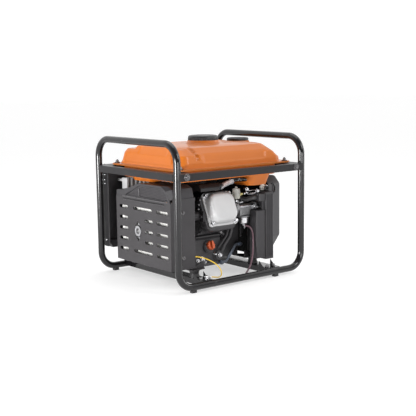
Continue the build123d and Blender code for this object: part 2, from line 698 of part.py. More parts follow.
def oil_cap_plane():
    """On the filler neck's mouth, with local Z along the neck, outwards."""
    return Plane(origin=(-43, -101, 108), x_dir=(1, 0, 0), z_dir=(0, -0.94, 0.34))


def oil_cap():
    """Ribbed filler cap with its dipstick."""
    cap = Pos(0, 0, 0.4) * Cylinder(15, 12, align=(MID, MID, UP))
    cap += Pos(0, 0, 12) * Box(24, 7, 8, align=(MID, MID, UP))
    cap += Pos(0, 0, -18) * Cylinder(9.4, 19, align=(MID, MID, UP))
    cap += Pos(0, 0, -58) * Cylinder(2.5, 42, align=(MID, MID, UP))
    for i in range(12):
        a = 2 * math.pi * i / 12
        cap -= Pos(15.4 * math.cos(a), 15.4 * math.sin(a), 0) * Cylinder(1.4, 14, align=(MID, MID, UP))
    return oil_cap_plane() * cap


def crankcase_cover():
    """Side cover that carries the outer main bearing."""
    body = profile_yz(CASE, (CASE_X[0] - 12, CASE_X[0]))
    body -= profile_yz(inner_case(), (CASE_X[0] - 7, CASE_X[0] + 1))
    body += rod(axis_point(CASE_X[0] - 16), axis_point(CASE_X[0] - 2), 30)
    body -= rod(axis_point(CASE_X[0] - 11), axis_point(CASE_X[0] + 1), JOURNAL_R + RUN_CLEAR)
    body -= block((CASE_X[0] - 30, CASE_X[0]), (-100, 120), (30, FOOT_TOP))
    return max(body.solids(), key=lambda s: s.volume)


def cylinder_head():
    """Finned head with combustion recess, ports, plug hole and the rocker box."""
    centre = COVER_OFFSET / 2
    body = cylinder_plane(DECK, centre) * extrude(RectangleRounded(112, 104, 14), ROCKER_FACE - DECK)
    for i in range(3):
        body -= cylinder_plane(DECK + 5 + i * 6.5, centre) * (
            extrude(RectangleRounded(130, 124, 14), 3.2) - extrude(RectangleRounded(92, 86, 10), 3.2))
    pocket = cylinder_plane(ROCKER_FACE - 14, COVER_OFFSET) * extrude(
        RectangleRounded(78, 76, 12), 30)
    recess = cylinder_plane(DECK - 1) * Cylinder(BORE_R - 3, 6, align=(MID, MID, UP))
    body = body - pocket - recess
    rim = cylinder_plane(ROCKER_FACE - 16, COVER_OFFSET) * (
        extrude(RectangleRounded(118, 116, 16), 16) - Pos(0, 0, -1) * extrude(
            RectangleRounded(78, 76, 12), 30))
    body += rim
    x, y, z = PORT
    body += rod((x, y, z), (x + 40, y, z), 17.5)
    body -= rod((x - 1, y, z), (x + 36, y, z), 11)
    ix, iy, iz = INTAKE
    body += rod((ix - 40, iy, iz), (ix, iy, iz), 17.5)
    body -= rod((ix - 34, iy, iz), (ix + 1, iy, iz), 10)
    sx, sy, sz = SPARK
    body -= rod((sx, sy, sz - 14), (sx, sy, sz + 40), 6.1)
    body -= rod((sx, sy, sz + 22), (sx, sy, sz + 60), 10.5)
    return max(body.solids(), key=lambda s: s.volume)


BOOT_Z = 308.0
GROMMET = (56.0, -18.0, 268.0)
INTAKE = along(160, 6, x=34)
SPARK = along(152, 40, x=-8)


def valve_cover():
    """Cast rocker cover: a flange with four bosses and a domed, drafted top."""
    plane = cylinder_plane(ROCKER_FACE, COVER_OFFSET)
    body = extrude(RectangleRounded(112, 108, 20), 5)
    for sx in (-1, 1):
        for sy in (-1, 1):
            body += Pos(sx * COVER_PITCH[0] / 2, sy * COVER_PITCH[1] / 2, 0) * Cylinder(
                9, 8, align=(MID, MID, UP))
    low = RectangleRounded(104, 98, 30)
    high = Pos(0, 0, 36) * RectangleRounded(90, 82, 26)
    dome = loft([low, high])
    dome = fillet(dome.faces().sort_by(Axis.Z)[-1].edges(), 12)
    body += dome
    body -= Pos(0, 0, -1) * loft([RectangleRounded(86, 80, 18),
                                  Pos(0, 0, 30) * RectangleRounded(70, 64, 14)])
    for sx in (-1, 1):
        for sy in (-1, 1):
            body -= Pos(sx * COVER_PITCH[0] / 2, sy * COVER_PITCH[1] / 2, -1) * Cylinder(
                3.2, 12, align=(MID, MID, UP))
    return plane * body


def engine_bolts():
    """Valve cover bolts, carburettor studs and nuts, drain plug and case screws."""
    pieces = []
    for sx in (-1, 1):
        for sy in (-1, 1):
            foot = along(ROCKER_FACE + 8, COVER_OFFSET + sy * COVER_PITCH[1] / 2,
                         x=CYL_X + sx * COVER_PITCH[0] / 2)
            pieces.append(bolt(foot, tuple(cylinder_plane().z_dir), 3, 10, 8))
    ix = INTAKE[0]
    end = ix + CARB_LENGTH
    for _, y, z in stud_points(ix):
        pieces.append(rod((ix, y, z), (end + 10, y, z), 3) + hexagon((end, y, z), (1, 0, 0), 10, 6))
    pieces.append(bolt((-70, -92, 66), (0, -1, 0), 5, 14, 9))
    for y, z in ((-82, 67), (102, 67), (102, 178), (0, 212), (-78, 124)):
        pieces.append(bolt((CASE_X[0] - 12, y, z), (-1, 0, 0), 3, 9, 6))
    return pieces


def spark_plug():
    """Spark plug: thread, hexagon and ribbed insulator."""
    x, y, z = SPARK
    plug = rod((x, y, z - 12), (x, y, z + 26), 6)
    plug += hexagon((x, y, z + 26), (0, 0, 1), 15, 8)
    plug += rod((x, y, z + 34), (x, y, z + 48), 5)
    return plug


def spark_plug_boot():
    """Elbow boot over the plug, with its metal suppressor sleeve."""
    x, y, z = SPARK
    points = [(x, y, z + 35), (x, y, BOOT_Z), (x + 56, y - 14, BOOT_Z)]
    boot = hose(points, [16], 10)
    boot -= rod((x, y, z + 30), (x, y, z + 48.2), 5)
    return boot


def ignition_lead():
    """High-tension lead from the boot, round over the shroud, down to a grommet on the scroll."""
    x, y, z = SPARK
    gx, gy, gz = GROMMET
    points = [(x + 56, y - 14, BOOT_Z), (x + 74, y - 18, BOOT_Z + 1), (x + 86, y, BOOT_Z),
              (x + 82, y + 40, BOOT_Z - 6), (gx, gy, BOOT_Z - 12), (gx, gy, gz)]
    return hose(points, cord_radii_small(points, 18), 3.5)


def crankshaft():
    """Crankshaft: two main journals, webs with counterweights, the crank pin and the long nose."""
    pin = along(THROW)
    webs = (CYL_X - 26, CYL_X + 14)
    shaft = rod(axis_point(CASE_X[0] - 10.5), axis_point(webs[0] + 6), JOURNAL_R)
    shaft += rod(axis_point(webs[1] + 6), axis_point(150), JOURNAL_R)
    shaft += rod((webs[0] + 6, pin[1], pin[2]), (webs[1] + 6, pin[1], pin[2]), 15)
    for x in webs:
        disc = rod(axis_point(x), axis_point(x + 12), 50)
        disc -= cylinder_plane(6, 0, x + 6) * Box(30, 120, 80, align=(MID, MID, UP))
        link = cylinder_plane(-10, 0, x + 6) * Box(12, 40, THROW + 10, align=(MID, MID, UP))
        shaft += disc + link + rod((x, pin[1], pin[2]), (x + 12, pin[1], pin[2]), 20)
    return shaft


def connecting_rod():
    """Connecting rod with its wrist pin."""
    pin = along(THROW)
    wrist = along(THROW + ROD_LENGTH)
    body = rod((CYL_X - 9, pin[1], pin[2]), (CYL_X + 9, pin[1], pin[2]), 21)
    body += rod((CYL_X - 7, wrist[1], wrist[2]), (CYL_X + 7, wrist[1], wrist[2]), 6)
    shank = cylinder_plane(THROW + 10) * Box(7, 12, ROD_LENGTH - 12, align=(MID, MID, UP))
    body += shank
    body -= rod((CYL_X - 12, pin[1], pin[2]), (CYL_X + 12, pin[1], pin[2]), 15 + RUN_CLEAR)
    return body


def piston():
    """Slipper piston at the top of its stroke, open underneath, without its wrist pin."""
    wrist_distance = THROW + ROD_LENGTH
    body = cylinder_plane(wrist_distance - 12) * Cylinder(
        BORE_R - 0.05, DECK - 2 - wrist_distance + 12, align=(MID, MID, UP))
    body -= cylinder_plane(wrist_distance - 13) * Cylinder(31.6, 33, align=(MID, MID, UP))
    for distance in (126, 131, 136):
        groove = cylinder_plane(distance) * (Cylinder(40, 1.6, align=(MID, MID, UP))
                                             - Cylinder(BORE_R - 1.6, 1.6, align=(MID, MID, UP)))
        body -= groove
    return body


# ---------------------------------------------------------------- alternator, cooling, starter
def stator():
    """Wound stator on the end of the crankcase, inside the rotor."""
    core = pipe(axis_point(CASE_X[1]), axis_point(CASE_X[1] + 44), 44, JOURNAL_R + 4)
    for i in range(18):
        a = 2 * math.pi * i / 18
        tooth = Plane(origin=axis_point(CASE_X[1] + 10), x_dir=(0, math.cos(a), math.sin(a)),
                      z_dir=(1, 0, 0)) * Pos(55, 0, 0) * Box(26, 9, 30, align=(MID, MID, UP))
        core += tooth
    return core


def rotor():
    """Outer-rotor flywheel cup with its magnet ring, on the crankshaft."""
    x = CASE_X[1] + 10
    cup = pipe(axis_point(x), axis_point(x + 50), ROTOR_R, 71)
    cup += pipe(axis_point(x + 44), axis_point(x + 50), ROTOR_R, JOURNAL_R)
    cup += pipe(axis_point(x + 38), axis_point(x + 56), 26, JOURNAL_R)
    return cup


def cooling_fan():
    """Bladed fan on the rotor's face, with the starter's catch cup."""
    x = CASE_X[1] + 60
    fan = pipe(axis_point(x), axis_point(x + 3), ROTOR_R + 4, 28)
    for i in range(16):
        a = 2 * math.pi * i / 16
        blade = Plane(origin=axis_point(x + 2), x_dir=(0, math.cos(a), math.sin(a)),
                      z_dir=(1, 0, 0)) * Pos(66, 0, 0) * Rot(0, 0, 25) * Box(
                          36, 2.4, 13, align=(MID, MID, UP))
        fan += blade
    cup = pipe(axis_point(x + 2), axis_point(130), 34, 30)
    return fan + cup


def scroll_points(extra):
    """The blower housing's outline: a circle that grows towards the front."""
    points = []
    for i in range(24):
        a = 2 * math.pi * i / 24
        toward = max(0.0, math.cos(a - math.radians(190)))
        r = SCROLL_R[0] + (SCROLL_R[1] - SCROLL_R[0]) * toward + extra
        points.append((CRANK_Y + r * math.cos(a), max(CRANK_Z + r * math.sin(a), 40 - extra)))
    return points


def smooth_prism(points, x):
    """A prism along X whose outline is one smooth closed curve through points."""
    face = make_face(Spline(*[(x[0], p[0], p[1]) for p in points], periodic=True))
    return extrude(face, x[1] - x[0], dir=(1, 0, 0))


def blower_housing():
    """Scroll round the rotor and fan, open at the crankcase side, with a ringed air inlet."""
    body = smooth_prism(scroll_points(0), SCROLL_X)
    body -= smooth_prism(scroll_points(-3), (SCROLL_X[0] - 1, SCROLL_X[1] - 3))
    body -= rod(axis_point(SCROLL_X[1] - 5), axis_point(SCROLL_X[1] + 5), 78)
    for i in range(30):
        a = 2 * math.pi * i / 30
        r = SCROLL_R[0] - 9
        rib = Plane(origin=axis_point(SCROLL_X[1] - 1), x_dir=(0, math.cos(a), math.sin(a)),
                    z_dir=(1, 0, 0)) * Pos(r, 0, 0) * Box(14, 5, 6, align=(MID, MID, UP))
        body += rib
    gx, gy, gz = GROMMET
    body += rod((gx, gy, gz - 16), (gx, gy, gz), 7)
    body += rod((STAY_TOP[0], -100, STAY_TOP[1]), (STAY_TOP[0], -76, STAY_TOP[1]), 8)
    body -= cylinder_plane(84, 3) * Box(116, 112, 110, align=(MID, MID, UP))
    body -= block((30, SCROLL_X[1] + 10), (-200, -74), (188, 262))
    return max(body.solids(), key=lambda s: s.volume)


def cooling_shroud():
    """Hood over the barrel and head: a bent sheet with a raised front, open underneath."""
    x = (-104, -26)
    outer = [(14, 236), (-10, 268), (-66, 306), (-126, 311), (-136, 300), (-136, 290), (-100, 290),
             (-60, 262), (-10, 236)]
    hood = profile_yz(outer, x)
    hood = fillet(hood.edges().filter_by(Axis.X).sort_by(Axis.Z)[-3:], 5)
    core = [(11, 230), (-12, 264), (-67, 302), (-124, 307), (-132, 299), (-132, 280), (-60, 230)]
    hood -= profile_yz(core, (x[0] + 3, x[1] - 3))
    hood -= cylinder_plane(60, 3) * Box(120, 121, 140, align=(MID, MID, UP))
    return max(hood.solids(), key=lambda s: s.volume)


STAY_TOP = (84.0, 98.0)


def shroud_stay():
    """Steel strap from the engine foot up to a boss on the blower housing."""
    face_y = -103.0
    points = [(4, 46), (26, 49), (66, STAY_TOP[1]), STAY_TOP]
    stay = rod((4, face_y, 46), (4, -96, 46), 4.5)
    for p, q in zip(points, points[1:]):
        start = Vector(p[0], face_y + 1.5, p[1])
        run = Vector(q[0], face_y + 1.5, q[1]) - start
        stay += Plane(origin=start, x_dir=(0, 1, 0), z_dir=run) * Box(
            3, 9, run.length + 1, align=(MID, MID, UP))
    for px, pz in (points[0], points[-1]):
        stay += rod((px, face_y - 0, pz), (px, face_y + 3, pz), 7)
        stay += hexagon((px, face_y, pz), (0, -1, 0), 10, 6)
    return max(stay.solids(), key=lambda s: s.volume)


def end_outline(skin):
    """The end cover's outline in Y and Z, drawn in by skin."""
    y0, y1 = END_Y[0] + skin, END_Y[1] - skin
    z0, z1 = END_Z[0] + skin, END_Z[1] - skin
    return [(y0 + 20, z0), (y1 - 20, z0), (y1, z0 + 34), (y1, z1 - 26), (y1 - 26, z1),
            (y0 + 14, z1), (y0, z1 - 14), (y0, z0 + 34)]


def recoil_cover():
    """Louvred end cover that holds the recoil starter: hollow, with slats over a window."""
    body = profile_yz(end_outline(0), END_X)
    body = chamfer(body.faces().sort_by(Axis.X)[-1].edges(), 12)
    hollow = profile_yz(end_outline(3), (END_X[0] - 1, END_X[1] - 3.5))
    body -= chamfer(hollow.faces().sort_by(Axis.X)[-1].edges(), 12)
    x = (END_X[1] - 6, END_X[1] + 1)
    for i in range(9):
        z = END_Z[0] + 42 + i * 20
        body -= block(x, (END_Y[0] + 34, END_Y[1] - 34), (z, z + 9))
    hub = pipe(axis_point(END_X[0] + 20), axis_point(END_X[1] - 2), 62, 56)
    arms = block((END_X[1] - 9, END_X[1] - 3), (END_Y[0] + 20, END_Y[1] - 20),
                 (CRANK_Z - 12, CRANK_Z + 12))
    body += hub
    body += arms
    y, z = HANDLE_YZ
    body += rod((END_X[1] - 14, y, z), (END_X[1] + 0.5, y, z), 12)
    body -= rod((END_X[1] - 20, y, z), (END_X[1] + 2, y, z), ROPE_R + 1.4)
    body -= block((END_X[0] + 19, END_X[1] - 5), (CRANK_Y - 6, CRANK_Y + 70), (CRANK_Z + 40, z + 6))
    body += rod(axis_point(END_X[0] + 22), axis_point(END_X[1] - 4), 8)
    return max(body.solids(), key=lambda s: s.volume)


def starter_pulley():
    """Rope pulley on the recoil cover's spindle, with a pawl plate towards the fan's cup."""
    x = END_X[0] + 24
    wheel = pipe(axis_point(x), axis_point(x + 12), PULLEY_R + 4, 8 + RUN_CLEAR)
    wheel -= pipe(axis_point(x + 3), axis_point(x + 9), PULLEY_R + 6, PULLEY_R)
    for i in range(3):
        a = 2 * math.pi * i / 3
        wheel += rod(axis_point(x - 3, 24 * math.cos(a), 24 * math.sin(a)),
                     axis_point(x + 1, 24 * math.cos(a), 24 * math.sin(a)), 5)
    return wheel


def starter_handle():
    """Pull grip of the recoil starter."""
    y, z = HANDLE_YZ
    x = END_X[1] + 0.8
    stem = rod((x, y, z), (x + 13, y, z), 8)
    grip = Pos(x + 12, y, z) * Box(15, 22, 84, align=(UP, MID, MID))
    grip = fillet(grip.edges(), 6)
    return (stem + grip) - rod((x - 1, y, z), (x + 12, y, z), ROPE_R + 0.4)


def starter_rope():
    """Rope from the pulley's rim to the grip."""
    y, z = HANDLE_YZ
    rim_z = CRANK_Z + PULLEY_R + ROPE_R + 0.5
    x = END_X[0] + 30
    points = [(x, CRANK_Y, rim_z), (x, CRANK_Y + 34, rim_z + 20), (x + 10, y, z),
              (END_X[1] + 11, y, z)]
    return hose(points, [14, 10], ROPE_R)


# ---------------------------------------------------------------- intake side
CARB_LENGTH = 84.0
BOWL_X = 58.0              # bowl centre, from the head flange
STUD_OFFSET = 28.0
INLET = (INTAKE[0] + 36, INTAKE[1] - 16.5, INTAKE[2] + 13.2)


def stud_points(x):
    """Where the two carburettor studs stand, one each side of the throat along the cylinder."""
    return [along(160 + side * STUD_OFFSET, 6, x=x) for side in (-1, 1)]


def carburettor():
    """Carburettor: insulator, throat, mixing body, float bowl, drain spigot and filter flange."""
    ix, iy, iz = INTAKE
    end = ix + CARB_LENGTH
    plane = cylinder_plane(160, 6, ix)
    body = rod((ix, iy, iz), (end, iy, iz), 16)
    body += rod((INLET[0] - 10, INLET[1], INLET[2]), (INLET[0] + 4, INLET[1], INLET[2]), 3)
    for low, high in ((0, 12), (CARB_LENGTH - 7, CARB_LENGTH)):
        flange = plane * Pos((low + high) / 2, 0, 0) * Rot(0, 90, 0) * extrude(
            RectangleRounded(2 * STUD_OFFSET + 12, 22, 8), (high - low) / 2, both=True)
        body += flange
    body += block((ix + 36, end - 7), (iy - 20, iy + 20), (iz - 23, iz + 18), 5)
    bowl_x = ix + BOWL_X
    body += rod((bowl_x, iy - 2, iz - 52), (bowl_x, iy - 2, iz - 20), 19)
    body += rod((bowl_x, iy - 2, iz - 28), (bowl_x, iy - 2, iz - 22), 21)
    body += hexagon((bowl_x, iy - 2, iz - 60), (0, 0, 1), 10, 9)
    drain = Vector(*DRAIN_POINTS[0])
    onward = (Vector(*DRAIN_POINTS[1]) - drain).normalized()
    body += rod(tuple(drain - onward * 14), tuple(drain), DRAIN_R)
    body += rod((THROTTLE[0], iy, iz + 8), (THROTTLE[0], iy, iz + 19), 9)
    body -= rod((ix - 1, iy, iz), (end + 1, iy, iz), 10)
    for sx, sy, sz in stud_points(ix):
        body -= rod((ix - 1, sy, sz), (end + 1, sy, sz), 3)
    body -= rod((THROTTLE[0], iy, iz + 11.8), (THROTTLE[0], iy, iz + 20), 4 + RUN_CLEAR)
    return max(body.solids(), key=lambda s: s.volume)


THROTTLE = (INTAKE[0] + 24, INTAKE[1])


def throttle_lever():
    """Lever on top of the carburettor, on its upright shaft."""
    x, y = THROTTLE
    z = INTAKE[2] + 19.3
    lever = rod((x, y, z - 7), (x, y, z + 6), 4)
    lever += rod((x, y, z), (x, y, z + 3), 8)
    lever += block((x, x + 30), (y - 5, y + 5), (z, z + 3))
    lever += rod((x + 28, y, z), (x + 28, y, z + 9), 4)
    return lever


def air_filter_base():
    """Backing box of the air filter, with the neck that meets the carburettor."""
    x, y, z = FILTER_X, (FILTER_Y[1], FILTER_Y[1] + 48), FILTER_Z
    ix, iy, iz = INTAKE
    body = block((BASE_X, x[1]), y, (z[0] + 20, z[1] - 36), 6)
    body += rod((ix + CARB_LENGTH, iy, iz), (BASE_X + 4, iy, iz), 17)
    body -= block((BASE_X + 3, x[1] - 3), (y[0] - 1, y[1] - 3), (z[0] + 24, z[1] - 40))
    body -= rod((ix + CARB_LENGTH - 1, iy, iz), (BASE_X + 6, iy, iz), 10)
    return body


def air_filter_cover():
    """Front of the air filter: a narrow box and its cap, notched round the stud, and a ribbed box."""
    y, z = FILTER_Y, FILTER_Z
    left = block((FILTER_X[0], 136), y, (z[0] + 8, NOTCH_Z[0]), 5)
    cap = block((CAP_BOX_X, 136), y, (NOTCH_Z[1], z[1] - 4), 5)
    right = block((140, FILTER_X[1]), (y[0] + 3, y[1]), (z[0], z[1]), 5)
    web = block((130, 146), (y[0] + 10, y[1]), (z[0] + 12, z[1] - 8))
    body = left + cap + right + web
    body -= block((BASE_X + 3, FILTER_X[1] - 3), (y[0] + 14, y[1] + 1), (z[0] + 24, z[1] - 40))
    for i in range(3):
        rib_x = 150 + i * 9
        body += block((rib_x, rib_x + 2), (y[0] + 1.5, y[0] + 4), (z[0] + 8, z[1] - 8))
    return max(body.solids(), key=lambda s: s.volume)


def breather_hose():
    """Thick breather hose from the rocker box's side to the cap of the narrow filter box."""
    points = [(32.5, -107.5, 258), (56, -108, 257), (80, -132, 249), (96, -152, 255),
              (CAP_BOX_X, -152, 255)]
    return hose(points, cord_radii_small(points, 26), 8)


DRAIN_POINTS = [
    (78.0, -134.0, 163.5), (89.5, -142.0, 162.0), (95.0, -150.0, 150.0), (94.0, -156.0, 135.0),
    (91.0, -160.5, 117.0), (87.5, -164.0, 97.0), (82.5, -167.5, 76.0), (75.0, -171.5, 55.0),
    (63.5, -176.0, 37.0), (49.0, -180.0, 24.0), (34.0, -184.0, 14.0)]
GROUND_POINTS = [
    (-178.0, -150.5, 95.0), (-152.0, -151.5, 95.0), (-126.0, -153.5, 90.0), (-101.0, -158.0, 81.0),
    (-80.0, -164.0, 69.0), (-66.0, -171.0, 56.0), (-60.0, -179.0, 41.0), (-66.0, -187.0, 28.0),
    (-82.0, -193.0, 25.0), (-100.0, -196.5, 29.5), (-117.0, -198.0, 32.8)]
DRAIN_R = 2.9
GROUND_R = 1.8


def cord(points, radius, name):
    """A plain tube along a free cord's route, with its radii, length and volume printed."""
    radii = cord_radii(points)
    tube = hose(points, radii, radius)
    line = FilletPolyline(*points, radius=radii)
    expected = math.pi * radius ** 2 * line.length
    print(name, "radii", [round(r, 1) for r in radii], "length", round(line.length, 1),
          "volume ratio", round(tube.volume / expected, 4))
    return tube


# ---------------------------------------------------------------- control side
def control_panel():
    """Panel box on the back side, with raised side edges and openings for the controls."""
    x, y, z = PANEL_X, PANEL_Y, PANEL_Z
    body = profile_xz([(x[0] + 14, z[0]), (x[1] - 14, z[0]), (x[1], z[0] + 22), (x[1], z[1]),
                       (x[0], z[1]), (x[0], z[0] + 22)], y)
    body = fillet(body.faces().sort_by(Axis.Y)[-1].edges(), 5)
    body -= block((x[0] + 4, x[1] - 4), (y[0] - 1, y[1] - 4), (z[0] + 24, z[1] - 4))
    for cx, cz, r in ((SWITCH[0], SWITCH[1], 9.0 + RUN_CLEAR), (BREAKER[0], BREAKER[1], 6.05)):
        body -= rod((cx, y[1] - 6, cz), (cx, y[1] + 1, cz), r)
    ex, ez = ECO
    body -= block((ex - 9.4, ex + 9.4), (y[1] - 6, y[1] + 1), (ez - 14.6, ez + 14.6))
    body -= rod((ex - 12.4, y[1] - ECO_PIN, ez), (ex + 12.4, y[1] - ECO_PIN, ez), 1.4 + RUN_CLEAR)
    for cx, cz in OUTLETS:
        body -= rod((cx, y[1] - 6, cz), (cx, y[1] + 1, cz), 19)
    return max(body.solids(), key=lambda s: s.volume)


SWITCH = (160.0, 250.0)
ECO = (90.0, 262.0)
ECO_PIN = 2.1             # pivot pin, in from the panel's face
BREAKER = (20.0, 200.0)
OUTLETS = ((-60.0, 250.0), (-120.0, 250.0), (-60.0, 180.0))


def panel_outlets():
    """Three round sockets set in the panel."""
    sockets = []
    for cx, cz in OUTLETS:
        y = PANEL_Y[1]
        socket = rod((cx, y - 26, cz), (cx, y + 2, cz), 18.9)
        socket += rod((cx, y, cz), (cx, y + 2, cz), 22)
        socket -= rod((cx, y - 4, cz), (cx, y + 3, cz), 15)
        for dx in (-6.3, 6.3):
            socket -= block((cx + dx - 1.1, cx + dx + 1.1), (y - 16, y), (cz - 1, cz + 7))
        socket -= rod((cx, y - 16, cz - 8), (cx, y, cz - 8), 2.6)
        sockets.append(socket)
    return sockets


def engine_switch():
    """Rotary engine switch: stop, run, choke."""
    x, z = SWITCH
    y = PANEL_Y[1]
    dial = rod((x, y - 8, z), (x, y + 1, z), 9)
    dial += rod((x, y + 0.5, z), (x, y + 7, z), 24)
    dial += block((x - 5, x + 5), (y + 6, y + 16), (z - 21, z + 21))
    return dial


def eco_switch():
    """Economy-mode rocker on its cross pivot."""
    x, z = ECO
    y = PANEL_Y[1]
    rocker = profile_yz([(y - 6, z - 9), (y - 6, z + 9), (y + 1.2, z + 13), (y + 3.2, z),
                         (y + 4.8, z - 13)], (x - 9, x + 9))
    return rocker + rod((x - 12, y - ECO_PIN, z), (x + 12, y - ECO_PIN, z), 1.4)


def breaker_button():
    """Push button that resets the circuit breaker."""
    x, z = BREAKER
    y = PANEL_Y[1]
    return rod((x, y - 10, z), (x, y + 6, z), 6) + rod((x, y - 12, z), (x, y - 10, z), 9)


def inverter_module():
    """Inverter electronics in a finned case, on four posts behind the panel."""
    x, y, z = INVERTER_X, INVERTER_Y, INVERTER_Z
    body = block(x, y, z)
    for i in range(12):
        fin_x = x[0] + 7 + i * 16
        body -= block((fin_x, fin_x + 9), (y[0] - 1, y[0] + 12), (z[0] - 1, z[1] + 1))
    for px in (x[0] + 10, x[1] - 10):
        for pz in (z[0] + 10, z[1] - 10):
            body += rod((px, y[1], pz), (px, PANEL_Y[1] - 4, pz), 5)
    return body


# ---------------------------------------------------------------- writing
def main():
    os.makedirs("parts", exist_ok=True)
    save("frame_hoop_left", frame_hoop(-1))
    save("frame_hoop_right", frame_hoop(1))
    save("side_rails", *side_rails())
    save("end_rails", *end_rails())
    save("cross_members", *cross_members())
    save("engine_mounts", *engine_mounts())
    save("mount_brackets", *mount_brackets())
    save("frame_feet", *frame_feet())
    save("frame_bolts", *frame_bolts())
    save("tank_mount_rubbers", *tank_mount_rubbers())
    save("fuel_hoses", *fuel_hoses())
    save("engine_bolts", *engine_bolts())
    save("panel_outlets", *panel_outlets())
    save("drain_hose", cord(DRAIN_POINTS, DRAIN_R, "drain_hose"))
    save("ground_wire", cord(GROUND_POINTS, GROUND_R, "ground_wire"))
    singles = (tank_upper_shell, tank_lower_shell, fuel_gauge, fuel_cap_plug, fuel_cap_grip,
               fuel_valve_body, fuel_valve_lever, fuel_filter, muffler, exhaust_outlet,
               muffler_guard, guard_top_cover, guard_mesh, crankcase, crankcase_cover,
               cylinder_head, valve_cover, spark_plug, spark_plug_boot, ignition_lead,
               crankshaft, connecting_rod, piston, stator, rotor, cooling_fan, cooling_shroud,
               blower_housing, shroud_stay, recoil_cover, starter_pulley, starter_handle,
               starter_rope, carburettor, throttle_lever, air_filter_base, air_filter_cover,
               breather_hose, oil_cap, control_panel, engine_switch, eco_switch,
               breaker_button, inverter_module)
    for make in singles:
        save(make.__name__, make())


main()
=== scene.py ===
import bpy
import bmesh
import math
from mathutils import Matrix, Vector


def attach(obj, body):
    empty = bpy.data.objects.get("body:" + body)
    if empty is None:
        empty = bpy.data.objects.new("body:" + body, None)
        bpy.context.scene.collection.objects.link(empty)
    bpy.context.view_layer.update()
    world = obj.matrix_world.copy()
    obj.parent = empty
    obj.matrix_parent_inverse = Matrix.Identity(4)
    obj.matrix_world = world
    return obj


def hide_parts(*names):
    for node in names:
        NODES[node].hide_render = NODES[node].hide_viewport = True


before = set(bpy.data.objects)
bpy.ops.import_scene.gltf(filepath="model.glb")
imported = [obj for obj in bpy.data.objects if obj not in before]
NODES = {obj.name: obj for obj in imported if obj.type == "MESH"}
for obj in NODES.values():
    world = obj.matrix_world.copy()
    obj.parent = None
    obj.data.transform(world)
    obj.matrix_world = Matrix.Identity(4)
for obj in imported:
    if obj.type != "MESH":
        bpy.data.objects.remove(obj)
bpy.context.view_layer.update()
ROOT = "generator"

# ------------------------------------------------------------------ camera
CAM_POS = Vector((-1.7383, -2.2103, 0.6252))
CAM_YAW = math.radians(38.70)
CAM_PITCH = math.radians(8.307)
CAM_ROLL = math.radians(-0.704)
CAM_LENS = 74.07


def place_camera():
    cam = bpy.data.cameras.new("camera")
    cam.lens = CAM_LENS
    cam.sensor_width = 36.0
    cam.clip_start = 0.05
    cam.clip_end = 50.0
    obj = bpy.data.objects.new("camera", cam)
    bpy.context.scene.collection.objects.link(obj)
    forward = Vector((math.sin(CAM_YAW) * math.cos(CAM_PITCH),
                      math.cos(CAM_YAW) * math.cos(CAM_PITCH), -math.sin(CAM_PITCH)))
    right = forward.cross(Vector((0, 0, 1))).normalized()
    up = right.cross(forward)
    r = math.cos(CAM_ROLL) * right + math.sin(CAM_ROLL) * up
    u = -math.sin(CAM_ROLL) * right + math.cos(CAM_ROLL) * up
    rows = Matrix((r, u, -forward)).transposed()
    obj.matrix_world = Matrix.Translation(CAM_POS) @ rows.to_4x4()
    bpy.context.scene.camera = obj


place_camera()


# ------------------------------------------------------------------ materials
def shader_node(nodes, kind, **values):
    """A shader node with its sockets set. An underscore in a name stands for a space."""
    node = nodes.new(kind)
    for key, value in values.items():
        node.inputs[key.replace("_", " ")].default_value = value
    return node


